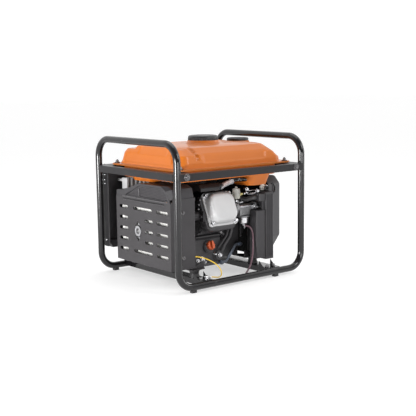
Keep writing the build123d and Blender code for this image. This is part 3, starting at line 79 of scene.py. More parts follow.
def new_material(name, color, rough, metallic=0.0, spec=0.5, coat=0.0, coat_rough=0.05,
                 rough_var=0.08, rough_scale=30.0, color_var=0.06, color_scale=12.0,
                 bump=0.0, bump_scale=400.0, bump_dist=0.0003, wear=0.0, wear_color=None):
    """A painted, moulded or machined finish: varied colour and roughness, fine bump, worn edges."""
    mat = bpy.data.materials.new(name)
    mat.use_nodes = True
    nodes, links = mat.node_tree.nodes, mat.node_tree.links
    bsdf = nodes["Principled BSDF"]
    for key, value in (("Metallic", metallic), ("Specular IOR Level", spec), ("IOR", 1.5),
                       ("Coat Weight", coat), ("Coat Roughness", coat_rough)):
        bsdf.inputs[key].default_value = value
    coord = nodes.new("ShaderNodeTexCoord")
    noise = shader_node(nodes, "ShaderNodeTexNoise", Scale=color_scale, Detail=4.0)
    links.new(coord.outputs["Object"], noise.inputs["Vector"])
    ramp = shader_node(nodes, "ShaderNodeMapRange", From_Min=0.3, From_Max=0.7,
                       To_Min=1.0 - color_var, To_Max=1.0 + color_var)
    links.new(noise.outputs["Fac"], ramp.inputs["Value"])
    hsv = shader_node(nodes, "ShaderNodeHueSaturation", Color=(*color, 1))
    links.new(ramp.outputs["Result"], hsv.inputs["Value"])
    out_color = hsv.outputs["Color"]
    rnoise = shader_node(nodes, "ShaderNodeTexNoise", Scale=rough_scale, Detail=6.0)
    links.new(coord.outputs["Object"], rnoise.inputs["Vector"])
    rmap = shader_node(nodes, "ShaderNodeMapRange", From_Min=0.3, From_Max=0.7,
                       To_Min=max(0.02, rough - rough_var), To_Max=min(1.0, rough + rough_var))
    links.new(rnoise.outputs["Fac"], rmap.inputs["Value"])
    links.new(rmap.outputs["Result"], bsdf.inputs["Roughness"])
    if wear > 0:
        geo = nodes.new("ShaderNodeNewGeometry")
        edge = shader_node(nodes, "ShaderNodeMapRange", From_Min=0.52, From_Max=0.60, To_Min=0.0,
                           To_Max=wear)
        links.new(geo.outputs["Pointiness"], edge.inputs["Value"])
        spot = nodes.new("ShaderNodeMath")
        spot.operation = "MULTIPLY"
        links.new(edge.outputs["Result"], spot.inputs[0])
        links.new(rnoise.outputs["Fac"], spot.inputs[1])
        mix = nodes.new("ShaderNodeMix")
        mix.data_type = "RGBA"
        worn = wear_color or tuple(min(1.0, c * 2.2 + 0.05) for c in color)
        mix.inputs["B"].default_value = (*worn, 1)
        links.new(out_color, mix.inputs["A"])
        links.new(spot.outputs["Value"], mix.inputs["Factor"])
        out_color = mix.outputs["Result"]
    links.new(out_color, bsdf.inputs["Base Color"])
    if bump > 0:
        bnoise = shader_node(nodes, "ShaderNodeTexNoise", Scale=bump_scale, Detail=3.0)
        links.new(coord.outputs["Object"], bnoise.inputs["Vector"])
        node = shader_node(nodes, "ShaderNodeBump", Strength=bump, Distance=bump_dist)
        links.new(bnoise.outputs["Fac"], node.inputs["Height"])
        links.new(node.outputs["Normal"], bsdf.inputs["Normal"])
    return mat


# finish: (material name, colour, roughness, the rest)
FINISHES = {
    "tube": ("tube_gloss", (0.0065, 0.006, 0.007), 0.15, dict(spec=0.45, coat=0.15, coat_rough=0.10,
        rough_var=0.05, bump=0.12, bump_scale=260, bump_dist=0.0002)),
    "rail": ("rail_paint", (0.019, 0.0178, 0.019), 0.40, dict(spec=0.22, rough_var=0.06, bump=0.25,
        bump_scale=900, bump_dist=0.0001)),
    "sheet": ("sheet_powder", (0.043, 0.0405, 0.043), 0.52, dict(spec=0.25, rough_var=0.07, bump=0.35,
        bump_scale=1400, bump_dist=0.0001)),
    "dark_sheet": ("sheet_dark", (0.018, 0.016, 0.018), 0.42, dict(spec=0.4, rough_var=0.08, bump=0.3,
        bump_scale=900, bump_dist=0.0001)),
    "tank": ("tank_orange", (0.50, 0.130, 0.012), 0.42, dict(spec=0.25, coat=0.22, coat_rough=0.06,
        rough_var=0.05, color_var=0.03, color_scale=5, bump=0.10, bump_scale=90, bump_dist=0.0003,
        wear=0.25, wear_color=(0.85, 0.42, 0.18))),
    "black_plastic": ("plastic_black", (0.017, 0.016, 0.0175), 0.46, dict(spec=0.4, rough_var=0.08,
        bump=0.5, bump_scale=1100, bump_dist=0.00015)),
    "grey_plastic": ("plastic_grey", (0.20, 0.19, 0.20), 0.50, dict(rough_var=0.06, bump=0.5,
        bump_scale=1100, bump_dist=0.00015, wear=0.3)),
    "dark_plastic": ("plastic_dark", (0.034, 0.032, 0.035), 0.46, dict(spec=0.4, rough_var=0.07,
        bump=0.5, bump_scale=1000, bump_dist=0.00015)),
    "rubber": ("rubber", (0.016, 0.015, 0.016), 0.55, dict(spec=0.4, rough_var=0.1, bump=0.4,
        bump_scale=700, bump_dist=0.0002)),
    "hose": ("rubber_hose", (0.024, 0.023, 0.024), 0.30, dict(rough_var=0.08, bump=0.25, bump_scale=500,
        bump_dist=0.0002)),
    "cast": ("cast_aluminium", (0.50, 0.50, 0.505), 0.50, dict(metallic=0.15, rough_var=0.08,
        color_var=0.05, bump=0.55, bump_scale=620, bump_dist=0.00035, wear=0.5,
        wear_color=(0.80, 0.80, 0.80))),
    "dark_cast": ("cast_painted", (0.036, 0.034, 0.037), 0.50, dict(rough_var=0.1, bump=0.7,
        bump_scale=420, bump_dist=0.0004, wear=0.25, wear_color=(0.16, 0.16, 0.16))),
    "zinc": ("zinc_plate", (0.66, 0.66, 0.68), 0.22, dict(metallic=1.0, rough_var=0.1, color_var=0.10,
        color_scale=60, bump=0.2, bump_scale=500, bump_dist=0.0001)),
    "steel": ("machined_steel", (0.50, 0.50, 0.52), 0.30, dict(metallic=1.0, rough_var=0.08, bump=0.2,
        bump_scale=300, bump_dist=0.0001)),
    "aluminised": ("aluminised_steel", (0.66, 0.64, 0.60), 0.34, dict(metallic=1.0, rough_var=0.12,
        rough_scale=18, color_var=0.14, color_scale=25, bump=0.4, bump_scale=140, bump_dist=0.0004)),
    "red_cap": ("plastic_red", (0.55, 0.085, 0.018), 0.38, dict(rough_var=0.06, bump=0.3,
        bump_scale=600, bump_dist=0.0002, wear=0.3, wear_color=(0.75, 0.2, 0.1))),
    "yellow": ("wire_yellow", (0.72, 0.47, 0.03), 0.35, dict(rough_var=0.06, bump=0.15, bump_scale=900,
        bump_dist=0.0001)),
    "brown_hose": ("hose_brown", (0.115, 0.062, 0.078), 0.32, dict(rough_var=0.06, color_var=0.12,
        bump=0.2, bump_scale=500, bump_dist=0.0002)),
    "screen": ("screen_metal", (0.085, 0.080, 0.086), 0.34, dict(spec=0.5, rough_var=0.08)),
    "lip": ("worn_lip", (0.13, 0.125, 0.13), 0.34, dict(metallic=0.4, rough_var=0.1)),
    "deep_black": ("deep_black", (0.006, 0.006, 0.006), 0.6, dict(spec=0.2, bump=0.2)),
    "bright_can": ("aluminised_can", (0.92, 0.91, 0.88), 0.30, dict(metallic=0.35, rough_var=0.08,
        color_var=0.06, color_scale=40, bump=0.3, bump_scale=160, bump_dist=0.0003)),
    "dark_zinc": ("black_zinc", (0.11, 0.105, 0.11), 0.28, dict(metallic=0.8, rough_var=0.08, wear=0.6,
        wear_color=(0.5, 0.5, 0.5))),
    "gloss_black": ("gloss_rubber", (0.008, 0.008, 0.009), 0.20, dict(spec=0.5, coat=0.3,
        coat_rough=0.08, rough_var=0.05, bump=0.1)),
    "mid_cast": ("carburettor_cast", (0.26, 0.26, 0.268), 0.36, dict(metallic=0.5, rough_var=0.1,
        bump=0.5, bump_scale=500, bump_dist=0.0003, wear=0.7, wear_color=(0.4, 0.4, 0.4))),
    "cap_plastic": ("cap_plastic", (0.013, 0.0125, 0.0135), 0.42, dict(spec=0.45, rough_var=0.07,
        bump=0.4, bump_scale=900, bump_dist=0.00012, wear=0.4)),
    # pale colour with little metal: a painted reflection in place of the chrome sleeve's bright reflections
    "sleeve": ("suppressor_plate", (0.82, 0.82, 0.84), 0.24, dict(metallic=0.35, rough_var=0.08,
        color_var=0.12, color_scale=90)),
    "end_grey": ("end_cover_grey", (0.075, 0.073, 0.077), 0.50, dict(spec=0.35, rough_var=0.06,
        bump=0.5, bump_scale=1000, bump_dist=0.00015)),
    "blue_steel": ("strap_steel", (0.20, 0.225, 0.27), 0.32, dict(metallic=1.0, rough_var=0.08,
        bump=0.2, bump_scale=300)),
    "filter_yellow": ("filter_yellow", (0.50, 0.44, 0.18), 0.35, dict(rough_var=0.06, color_var=0.1)),
    "clear": ("clear_plastic", (0.78, 0.78, 0.72), 0.14, dict(rough_var=0.03, color_var=0.02)),
    "ceramic": ("ceramic_white", (0.75, 0.74, 0.70), 0.25, dict(rough_var=0.04, bump=0.05))}
M = {look: new_material(*basics, **rest) for look, (*basics, rest) in FINISHES.items()}
M["clear"].node_tree.nodes["Principled BSDF"].inputs["Transmission Weight"].default_value = 0.62

CAD_LOOKS = {
    "tube": "frame_hoop_left frame_hoop_right cross_members",
    "rail": "side_rails end_rails",
    "rubber": "engine_mounts frame_feet tank_mount_rubbers starter_rope",
    "dark_sheet": "mount_brackets guard_mesh",
    "zinc": "frame_bolts engine_bolts fuel_valve_body fuel_valve_lever throttle_lever",
    "hose": "fuel_hoses spark_plug_boot ignition_lead breather_hose",
    "black_plastic": ("panel_outlets fuel_gauge fuel_cap_grip cooling_fan cooling_shroud blower_housing "
                      "starter_pulley starter_handle engine_switch eco_switch breaker_button"),
    "brown_hose": "drain_hose",
    "yellow": "ground_wire",
    "tank": "tank_upper_shell tank_lower_shell",
    "grey_plastic": "fuel_cap_plug",
    "ceramic": "fuel_filter spark_plug",
    "aluminised": "muffler",
    "steel": "exhaust_outlet crankshaft stator rotor",
    "sheet": "muffler_guard",
    "dark_plastic": "guard_top_cover recoil_cover air_filter_base air_filter_cover control_panel",
    "dark_cast": "crankcase crankcase_cover cylinder_head carburettor",
    "cast": "valve_cover connecting_rod piston inverter_module",
    "blue_steel": "shroud_stay",
    "red_cap": "oil_cap"}

for cad_look, cad_names in CAD_LOOKS.items():
    for cad_name in cad_names.split():
        NODES[cad_name].data.materials.clear()
        NODES[cad_name].data.materials.append(M[cad_look])


# ------------------------------------------------------------------ cords
def mm(*v):
    return tuple(c / 1000 for c in v)


DRAIN_POINTS = [mm(*p) for p in (
    (78.0, -134.0, 163.5), (89.5, -142.0, 162.0), (95.0, -150.0, 150.0), (94.0, -156.0, 135.0),
    (91.0, -160.5, 117.0), (87.5, -164.0, 97.0), (82.5, -167.5, 76.0), (75.0, -171.5, 55.0),
    (63.5, -176.0, 37.0), (49.0, -180.0, 24.0), (34.0, -184.0, 14.0))]
GROUND_POINTS = [mm(*p) for p in (
    (-178.0, -150.5, 95.0), (-152.0, -151.5, 95.0), (-126.0, -153.5, 90.0), (-101.0, -158.0, 81.0),
    (-80.0, -164.0, 69.0), (-66.0, -171.0, 56.0), (-60.0, -179.0, 41.0), (-66.0, -187.0, 28.0),
    (-82.0, -193.0, 25.0), (-100.0, -196.5, 29.5), (-117.0, -198.0, 32.8))]


def nurbs_curve(name, points, radius, material):
    """A round cord along a smooth line through the neighbourhood of its route's points."""
    curve = bpy.data.curves.new(name, "CURVE")
    curve.dimensions = "3D"
    curve.bevel_depth = radius
    curve.bevel_resolution = 5
    curve.resolution_u = 12
    curve.use_fill_caps = True
    spline = curve.splines.new("NURBS")
    spline.points.add(len(points) - 1)
    for point, co in zip(spline.points, points):
        point.co = (*co, 1)
    spline.order_u = 3
    spline.use_endpoint_u = True
    obj = bpy.data.objects.new(name, curve)
    bpy.context.scene.collection.objects.link(obj)
    curve.materials.append(material)
    return obj


drain = nurbs_curve("drain_hose_cord", DRAIN_POINTS, 0.0029, M["brown_hose"])
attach(drain, ROOT)
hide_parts("drain_hose")
ground = nurbs_curve("ground_wire_cord", GROUND_POINTS, 0.0018, M["yellow"])
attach(ground, ROOT)
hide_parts("ground_wire")


# ------------------------------------------------------------------ mesh helpers
def mesh_piece(name, verts, faces, look, slot_name, body=ROOT, replaces=(), smooth=True,
               bevel=0.0, segments=3, angle=35.0):
    """A mesh in metres, in the row frame, with its modifiers, finish and body."""
    mesh = bpy.data.meshes.new(name)
    mesh.from_pydata([tuple(v) for v in verts], [], [tuple(f) for f in faces])
    mesh.validate()
    bm = bmesh.new()
    bm.from_mesh(mesh)
    bmesh.ops.remove_doubles(bm, verts=bm.verts, dist=1e-6)
    bmesh.ops.recalc_face_normals(bm, faces=bm.faces)
    bm.to_mesh(mesh)
    bm.free()
    obj = bpy.data.objects.new(name, mesh)
    bpy.context.scene.collection.objects.link(obj)
    mesh.materials.append(M[look])
    if smooth:
        mesh.polygons.foreach_set("use_smooth", [True] * len(mesh.polygons))
    if bevel:
        mod = obj.modifiers.new("bevel", "BEVEL")
        mod.width = bevel
        mod.segments = segments
        mod.limit_method = "ANGLE"
        mod.angle_limit = math.radians(angle)
        mod.harden_normals = False
    if smooth:
        mod = obj.modifiers.new("normals", "WEIGHTED_NORMAL")
        mod.keep_sharp = True
    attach(obj, body)
    for node in replaces:
        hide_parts(node)
    return obj


def ring_faces(rings, count, closed_ends=(True, True)):
    """Quads between neighbouring rings of count points, with n-gon caps where asked."""
    faces = []
    for k in range(rings - 1):
        low, high = k * count, (k + 1) * count
        for i in range(count):
            j = (i + 1) % count
            faces.append((low + i, low + j, high + j, high + i))
    if closed_ends[0]:
        faces.append(tuple(reversed(range(count))))
    if closed_ends[1]:
        faces.append(tuple(range((rings - 1) * count, rings * count)))
    return faces


def circle(centre, side, other, radius, count, phase=0.0):
    """count points round a centre, in the plane of two unit vectors."""
    turns = [phase + 2 * math.pi * i / count for i in range(count)]
    return [centre + radius * (side * math.cos(a) + other * math.sin(a)) for a in turns]


UP = (0, 0, 1)
RIGHT = (1, 0, 0)
FRONT = (0, -1, 0)


class Build:
    """Gathers solids of one piece before it becomes a mesh. Numbers are millimetres."""

    def __init__(self, matrix=None):
        self.verts = []
        self.faces = []
        self.matrix = matrix or Matrix.Identity(4)

    def add(self, verts, faces, matrix=None):
        base = len(self.verts)
        total = self.matrix @ matrix if matrix is not None else self.matrix
        self.verts += [(total @ Vector(v)) / 1000 for v in verts]
        self.faces += [tuple(base + i for i in f) for f in faces]
        return self

    def rings(self, rings, caps=(True, True), matrix=None):
        verts = [v for ring in rings for v in ring]
        return self.add(verts, ring_faces(len(rings), len(rings[0]), caps), matrix)

    def box(self, x, y, z, matrix=None):
        ring0 = [(x[0], y[0], z[0]), (x[1], y[0], z[0]), (x[1], y[1], z[0]), (x[0], y[1], z[0])]
        ring1 = [(a, b, z[1]) for a, b, _ in ring0]
        return self.rings([ring0, ring1], matrix=matrix)

    def lathe(self, profile, start, direction, count=32, caps=(True, True), phase=0.0):
        """profile is (distance along direction from start, radius) pairs."""
        axis = Vector(direction).normalized()
        side = axis.orthogonal().normalized()
        other = axis.cross(side)
        rings = []
        for reach, radius in profile:
            rings.append(circle(Vector(start) + axis * reach, side, other, radius, count, phase))
        return self.rings(rings, caps)

    def bolt(self, start, direction, flats=10.0, height=6.5, washer=6.4, phase=0.0):
        """A flanged hexagon bolt head with a chamfered top and a dished centre."""
        r = flats / math.sqrt(3)
        self.lathe([(0, washer), (1.0, washer), (1.6, washer * 0.86)], start, direction, 28)
        self.lathe([(1.2, r), (height - 0.8, r), (height, r * 0.86), (height, r * 0.55),
                    (height - 0.7, r * 0.45)], start, direction, 6, phase=phase)
        return self

    def tube(self, points, radius, count=14):
        """A round bar that follows points, in millimetres, with mitred joints."""
        pts = [Vector(p) for p in points]
        rings = []
        side = None
        for i, p in enumerate(pts):
            before = (p - pts[i - 1]).normalized() if i else (pts[1] - p).normalized()
            after = (pts[i + 1] - p).normalized() if i + 1 < len(pts) else before
            run = (before + after).normalized()
            side = run.orthogonal().normalized() if side is None else (
                side - run * side.dot(run)).normalized()
            other = run.cross(side)
            stretch = 1.0 / max(0.5, run.dot(before))
            rings.append(circle(p, side, other, radius * stretch, count))
        return self.rings(rings)

    def done(self, name, look, slot_name, **options):
        return mesh_piece(name, self.verts, self.faces, look, slot_name, **options)


def arc_points(points, radii, steps=8):
    """Straight runs joined by arcs, as a list of points."""
    pts = [Vector(p) for p in points]
    out = [pts[0]]
    for i in range(1, len(pts) - 1):
        a = (pts[i - 1] - pts[i]).normalized()
        b = (pts[i + 1] - pts[i]).normalized()
        half = math.acos(max(-1, min(1, a.dot(b)))) / 2
        r = radii[i - 1] if isinstance(radii, (list, tuple)) else radii
        reach = min(r / math.tan(half), 0.49 * (pts[i - 1] - pts[i]).length,
                    0.49 * (pts[i + 1] - pts[i]).length)
        p, q = pts[i] + a * reach, pts[i] + b * reach
        for k in range(steps + 1):
            t = k / steps
            out.append((1 - t) ** 2 * p + 2 * t * (1 - t) * pts[i] + t ** 2 * q)
    out.append(pts[-1])
    return out


def rounded(x0, x1, y0, y1, r, per_corner=10, straight=(1, 1)):
    """A rounded rectangle as points, anticlockwise, always with the same count."""
    out = []
    corners = [(x1 - r, y0 + r, -90), (x1 - r, y1 - r, 0), (x0 + r, y1 - r, 90), (x0 + r, y0 + r, 180)]
    for k, (cx, cy, a0) in enumerate(corners):
        arc = []
        for i in range(per_corner + 1):
            a = math.radians(a0 + 90 * i / per_corner)
            arc.append((cx + r * math.cos(a), cy + r * math.sin(a)))
        out += arc
        nx, ny, na = corners[(k + 1) % 4]
        a = math.radians(na)
        target = (nx + r * math.cos(a), ny + r * math.sin(a))
        n = straight[(k + 1) % 2]
        for i in range(1, n):
            t = i / n
            out.append((arc[-1][0] * (1 - t) + target[0] * t, arc[-1][1] * (1 - t) + target[1] * t))
    return out


def smoothstep(t):
    t = max(0.0, min(1.0, t))
    return t * t * (3 - 2 * t)


# ------------------------------------------------------------------ fuel tank, upper pressing
FLANGE_Z = 367.0
TANK_X = (-228.0, 240.0)
TANK_Y = (-187.0, 187.0)
CAP_X, CAP_Y = 3.0, -15.0
GAUGE_X, GAUGE_Y = 165.0, 0.0


def rounded_profile(points, radius, steps=5):
    """A 2-D profile with its inner corners rounded."""
    return [(p.x, p.y) for p in arc_points([(a, b, 0) for a, b in points], radius, steps)]


def resample(profile, count):
    """count points, evenly spaced by length, along a 2-D profile."""
    lengths = [0.0]
    for (x0, y0), (x1, y1) in zip(profile, profile[1:]):
        lengths.append(lengths[-1] + math.hypot(x1 - x0, y1 - y0))
    out = []
    k = 0
    for i in range(count):
        target = lengths[-1] * i / (count - 1)
        while k < len(lengths) - 2 and lengths[k + 1] < target:
            k += 1
        span = lengths[k + 1] - lengths[k] or 1.0
        t = (target - lengths[k]) / span
        out.append((profile[k][0] * (1 - t) + profile[k + 1][0] * t,
                    profile[k][1] * (1 - t) + profile[k + 1][1] * t))
    return out


def dent(point, centre, tilt, top, bottom, half, depth):
    """How far a pressed teardrop dent draws a wall in, and the lip round it stands out."""
    u, z = point
    if not bottom - 6 < z < top + 8:
        return 0.0
    s = max(0.0, min(1.0, (top - z) / (top - bottom)))
    width = half * (1 - s) ** 0.8 + 2.0
    d = abs(u - (centre + tilt * s)) / width
    fade = smoothstep((z - bottom + 5) / 7) * smoothstep((top + 7 - z) / 6)
    return fade * (depth * smoothstep((1.0 - d) * 2.6) - 1.6 * max(0.0, 1 - abs(d - 1.12) / 0.28))


def tank_upper():
    """Upper pressing: a seamed flange and walls whose profile differs on each side, with its dents."""
    levels = 64
    left = resample(rounded_profile([(0, 369), (1.5, 375), (4.5, 379), (10, 407), (22, 429), (58, 431.5),
                                     (100, 432)], 3.4), levels)
    right = resample(rounded_profile([(0, 369), (3, 384), (14, 392), (47, 426), (60, 430.5),
                                      (100, 432)], 3), levels)
    front = resample(rounded_profile([(0, 369), (1.0, 384), (9.5, 407), (40, 428), (60, 431),
                                      (100, 432)], 3), levels)
    back = resample(rounded_profile([(0, 369), (4, 384), (10, 406), (32, 428), (56, 431),
                                     (100, 432)], 7), levels)
    x0, x1, y0, y1 = -214.0, 213.0, -174.0, 168.0
    verts = []
    for k in range(levels):
        (inset_l, zl), (inset_r, zr), (inset_f, zf), (inset_b, zb) = left[k], right[k], front[k], back[k]
        depth = (inset_l + inset_r + inset_f + inset_b) / 4
        ring = rounded(x0 + inset_l, x1 - inset_r, y0 + inset_f, y1 - inset_b,
                       max(14.0, 34 - 0.2 * depth), 14, (56, 80))
        for x, y in ring:
            side_l = max(0.0, (x0 + inset_l + 34 - x) / 34)
            side_r = max(0.0, (x - (x1 - inset_r - 34)) / 34)
            side_f = max(0.0, (y0 + inset_f + 34 - y) / 34)
            side_b = max(0.0, (y - (y1 - inset_b - 34)) / 34)
            total = side_l + side_r + side_f + side_b or 1.0
            z = (side_l * zl + side_r * zr + side_f * zf + side_b * zb) / total
            px, py = x, y
            if side_f > 0.5:
                py += dent((x, z), -148, 14, 426, 390, 9, 7.0)
                panel = smoothstep((x + 122) / 10) * smoothstep((145 - x - (404 - z) * 0.35) / 8)
                panel *= smoothstep((z - 381) / 6) * smoothstep((412 - z) / 5)
                py += 2.6 * panel
            if side_l > 0.5:
                px += dent((y, z), -122, -8, 424, 386, 9, 7.0)
                panel = smoothstep((y + 96) / 8) * smoothstep((62 - y) / 8)
                panel *= smoothstep((z - 403) / 4) * smoothstep((431 - z) / 4)
                px += 1.6 * panel
            low = smoothstep((py - 78) / 12) * smoothstep((-112 - px) / 22)
            z -= low * max(0.0, z - 418) * 0.92
            for cx, cy, cz in ((-190, -160, 424), (-196, -171, 392)):
                d = math.sqrt((px - cx) ** 2 + (py - cy) ** 2 + (z - cz) ** 2)
                z += 1.2 * smoothstep(1 - d / 5.0)
            verts.append((px, py, z))
    count = len(verts) // levels
    skirt = []
    flange = rounded(TANK_X[0], TANK_X[1], TANK_Y[0], TANK_Y[1], 20, 14, (56, 80))
    inner = rounded(x0 - 4, x1 + 4, y0 - 4, y1 + 4, 37, 14, (56, 80))
    for outline, z in ((flange, FLANGE_Z + 0.1), (flange, FLANGE_Z + 2.0), (inner, FLANGE_Z + 2.0)):
        skirt += [(x, y, z) for x, y in outline]
    build = Build()
    build.add(skirt + verts, ring_faces(levels + 3, count, (False, True)))
    return build.done("tank_pressing", "tank", "tank_paint", replaces=("tank_upper_shell",))


def tank_collars():
    """Raised seats of the fuel cap and the gauge, closed on top."""
    build = Build()
    build.lathe([(0, 60), (1.5, 58.5), (4, 55), (8, 52), (11, 51), (12.5, 50), (12.5, 47)],
                (CAP_X, CAP_Y, 429.5), UP, 72, (False, True))
    build.lathe([(0, 41), (1.5, 39.5), (5, 38.5), (6, 37), (6, 34)], (GAUGE_X, GAUGE_Y, 425.5), UP, 64,
                (False, True))
    build.done("tank_collars", "tank", "tank_paint")


tank_upper()
tank_collars()


# ------------------------------------------------------------------ muffler side
GUARD_X = -238.0
SIDE_Y = -156.0
RAIL_FACE = 226.0


CRANK_Y, CRANK_Z = 35.0, 150.0
CYLINDER_X = -27.0
TILT = math.radians(22.5)
ROCKER_FACE = 181
COVER_LIFT = 9


def along(distance, lift=0.0, x=CYLINDER_X):
    """A point at a distance along the tilted cylinder axis, in millimetres."""
    return (x, CRANK_Y - distance * math.cos(TILT) + lift * math.sin(TILT),
            CRANK_Z + distance * math.sin(TILT) + lift * math.cos(TILT))


def facing(origin, z_dir):
    """A frame at origin with local X along the crank and local Z along z_dir."""
    x_dir = Vector(RIGHT)
    rows = Matrix((x_dir, z_dir.cross(x_dir), z_dir)).transposed()
    return Matrix.Translation(origin) @ rows.to_4x4()


def cover_plane():
    """Local X along the crank, local Y up the rocker cover, local Z out of the head."""
    return facing(along(ROCKER_FACE, COVER_LIFT), Vector((0, -math.cos(TILT), math.sin(TILT))))


def clip_strip(outline, point, direction):
    """Where a line enters and leaves a convex outline, or None."""
    hits = []
    for (ax, ay), (bx, by) in zip(outline, outline[1:] + outline[:1]):
        ex, ey = bx - ax, by - ay
        det = direction[0] * ey - direction[1] * ex
        if abs(det) < 1e-9:
            continue
        wx, wy = ax - point[0], ay - point[1]
        t = (wx * ey - wy * ex) / det
        s = (wx * direction[1] - wy * direction[0]) / det
        if -1e-9 <= s <= 1 + 1e-9:
            hits.append(t)
    return (min(hits), max(hits)) if len(hits) > 1 and max(hits) - min(hits) > 1 else None


def silencer_screen():
    """Expanded-metal screen: two crossing families of thin strips inside the cover's window."""
    outline = [(90, 272), (-141, 272), (-129, 300), (-103, 312), (14, 311)]
    build = Build()
    for lean, x in ((58, GUARD_X + 5.2), (-58, GUARD_X + 5.9)):
        a = math.radians(lean)
        run = (math.cos(a), math.sin(a))
        for i in range(-44, 44):
            start = (-20 + i * 5.0 / abs(math.sin(a)), 290)
            span = clip_strip(outline, start, run)
            if span is None:
                continue
            p = [(start[0] + run[0] * t, start[1] + run[1] * t) for t in span]
            w = (-run[1] * 0.75, run[0] * 0.75)
            ring = [[(x + dx, y + sy * w[0], z + sy * w[1]) for dx, sy in
                     ((-0.4, -1), (0.4, -1), (0.4, 1), (-0.4, 1))] for y, z in p]
            build.rings(ring)
    build.done("silencer_screen", "screen", "mesh_black", replaces=("guard_mesh",), smooth=False)
    # A near-black sheet behind the screen paints the shade inside the cover seen through the window.
    back = Build()
    back.rings([[(x, y, z) for y, z in outline] for x in (GUARD_X + 12, GUARD_X + 13)])
    back.done("screen_painted_shade_sheet", "deep_black", "mesh_black", bevel=0.0004)


def silencer_cover():
    """Moulded top cover with a window, a low block at one end and a rounded corner at the other."""
    front = [(141, 258), (141, 286), (100, 288), (80, 294), (14, 315), (-104, 316.5), (-130, 302),
             (-144, 272), (94, 270), (106, 258)]
    wide = [(141, 258), (141, 286), (100, 288), (80, 294), (14, 315), (-128, 316.5), (-146, 308),
            (-152.5, 282), (-152.5, 270), (106, 258)]
    window = [(87, 273.5), (87.5, 274.2), (86.5, 275), (75, 281), (11, 309), (-101, 310.5),
              (-126, 298), (-138, 274), (88, 273.2), (87.3, 273.4)]
    x0 = GUARD_X + 2.2
    layers = [[(x0 + 5, y, z) for y, z in window], [(x0, y, z) for y, z in window],
              [(x0, y, z) for y, z in front], [(x0 + 12, y, z) for y, z in wide],
              [(-150, y, z) for y, z in wide],
              [(-143.5, y * 0.975, 285 + (z - 285) * 0.9) for y, z in wide]]
    build = Build()
    build.rings(layers, (False, True))
    build.done("silencer_cover", "dark_plastic", "black_plastic", replaces=("guard_top_cover",),
               bevel=0.0028, segments=4, angle=24)
    trim = Build()
    trim.box((x0 - 0.6, x0 + 4), (12.2, 13.8), (275, 299))
    trim.done("cover_ribs", "lip", "black_plastic", bevel=0.0006, segments=2)


def guard_details():
    """Rolled top lip, the row of slanted louvres under it with their openings drawn as near-black patches of
    painted shade, and the folded corner.
    """
    lip = Build()
    lip.tube([(GUARD_X + 1.2, 104, 268.6), (GUARD_X + 1.2, -144, 268.6)], 1.5, 12)
    lip.tube([(GUARD_X + 1.4, -151, 262), (GUARD_X + 1.4, -151, 277), (GUARD_X + 4, -152.4, 279),
              (GUARD_X + 12, -154, 279)], 1.1, 10)
    lip.done("guard_lip", "lip", "sheet_black")
    painted_louvre_shade = Build()
    hoods = Build()
    # Each louvre opening is a thin near-black patch on the guard face: painted shade, not a hole.
    slant = ((-2.6, 258.6), (3.4, 258.6), (4.6, 263.4), (-1.4, 263.4))
    for i in range(25):
        y = 94 - i * 9.0
        painted_louvre_shade.rings([[(x, y + dy, z) for dy, z in slant] for x in (GUARD_X - 0.15, GUARD_X + 0.4)])
        hoods.tube([(GUARD_X - 0.2, y - 2.6, 258.4), (GUARD_X - 0.9, y + 0.2, 258.1),
                    (GUARD_X - 0.2, y + 3.4, 258.4)], 0.7, 8)
    painted_louvre_shade.done("guard_louvre_painted_shade", "deep_black", "sheet_black", smooth=False)
    hoods.done("guard_louvre_hoods", "lip", "sheet_black")


def silencer():
    """Pressed silencer box with ribs and a welded seam, and its header pipe."""
    build = Build()
    y_mid, z_mid = -5.0, 162.0
    half_y, half_z = 133.0, 90.0
    layers = []
    for x, grow in ((-222, -14), (-225.5, -9), (-227, -4), (-224.5, -1), (-219, 0), (-196.5, 0),
                    (-196.4, 4.2), (-191.6, 4.2), (-191.5, 0), (-168, 0), (-162, -3), (-160, -9)):
        layers.append([(x, y, z) for y, z in rounded(y_mid - half_y - grow, y_mid + half_y + grow,
                                                      z_mid - half_z - grow, z_mid + half_z + grow,
                                                      28 + grow, 10)])
    build.rings(layers)
    for z in (110, 145, 182, 217):
        build.tube([(-222.5, -118, z), (-222.5, 108, z)], 3.4, 16)
    build.done("silencer_body", "bright_can", "aluminised", replaces=("muffler",))
    pipe = Build()
    port = along(161, 0, -90)
    pipe.tube(arc_points([(-161, port[1], port[2]), (port[0] - 6, port[1], port[2])], 4), 14, 28)
    pipe.lathe([(0, 15.5), (2, 17), (6, 17), (8, 15.5)], (-162, port[1], port[2]), RIGHT, 28)
    pipe.box((port[0] - 8, port[0]), (port[1] - 25, port[1] + 25), (port[2] - 17, port[2] + 17))
    for side in (-1, 1):
        pipe.bolt((port[0] - 8, port[1] + side * 18, port[2]), (-1, 0, 0), 9, 7, 7)
    pipe.done("header_pipe", "dark_sheet", "sheet_black", replaces=("muffler",), bevel=0.0015)


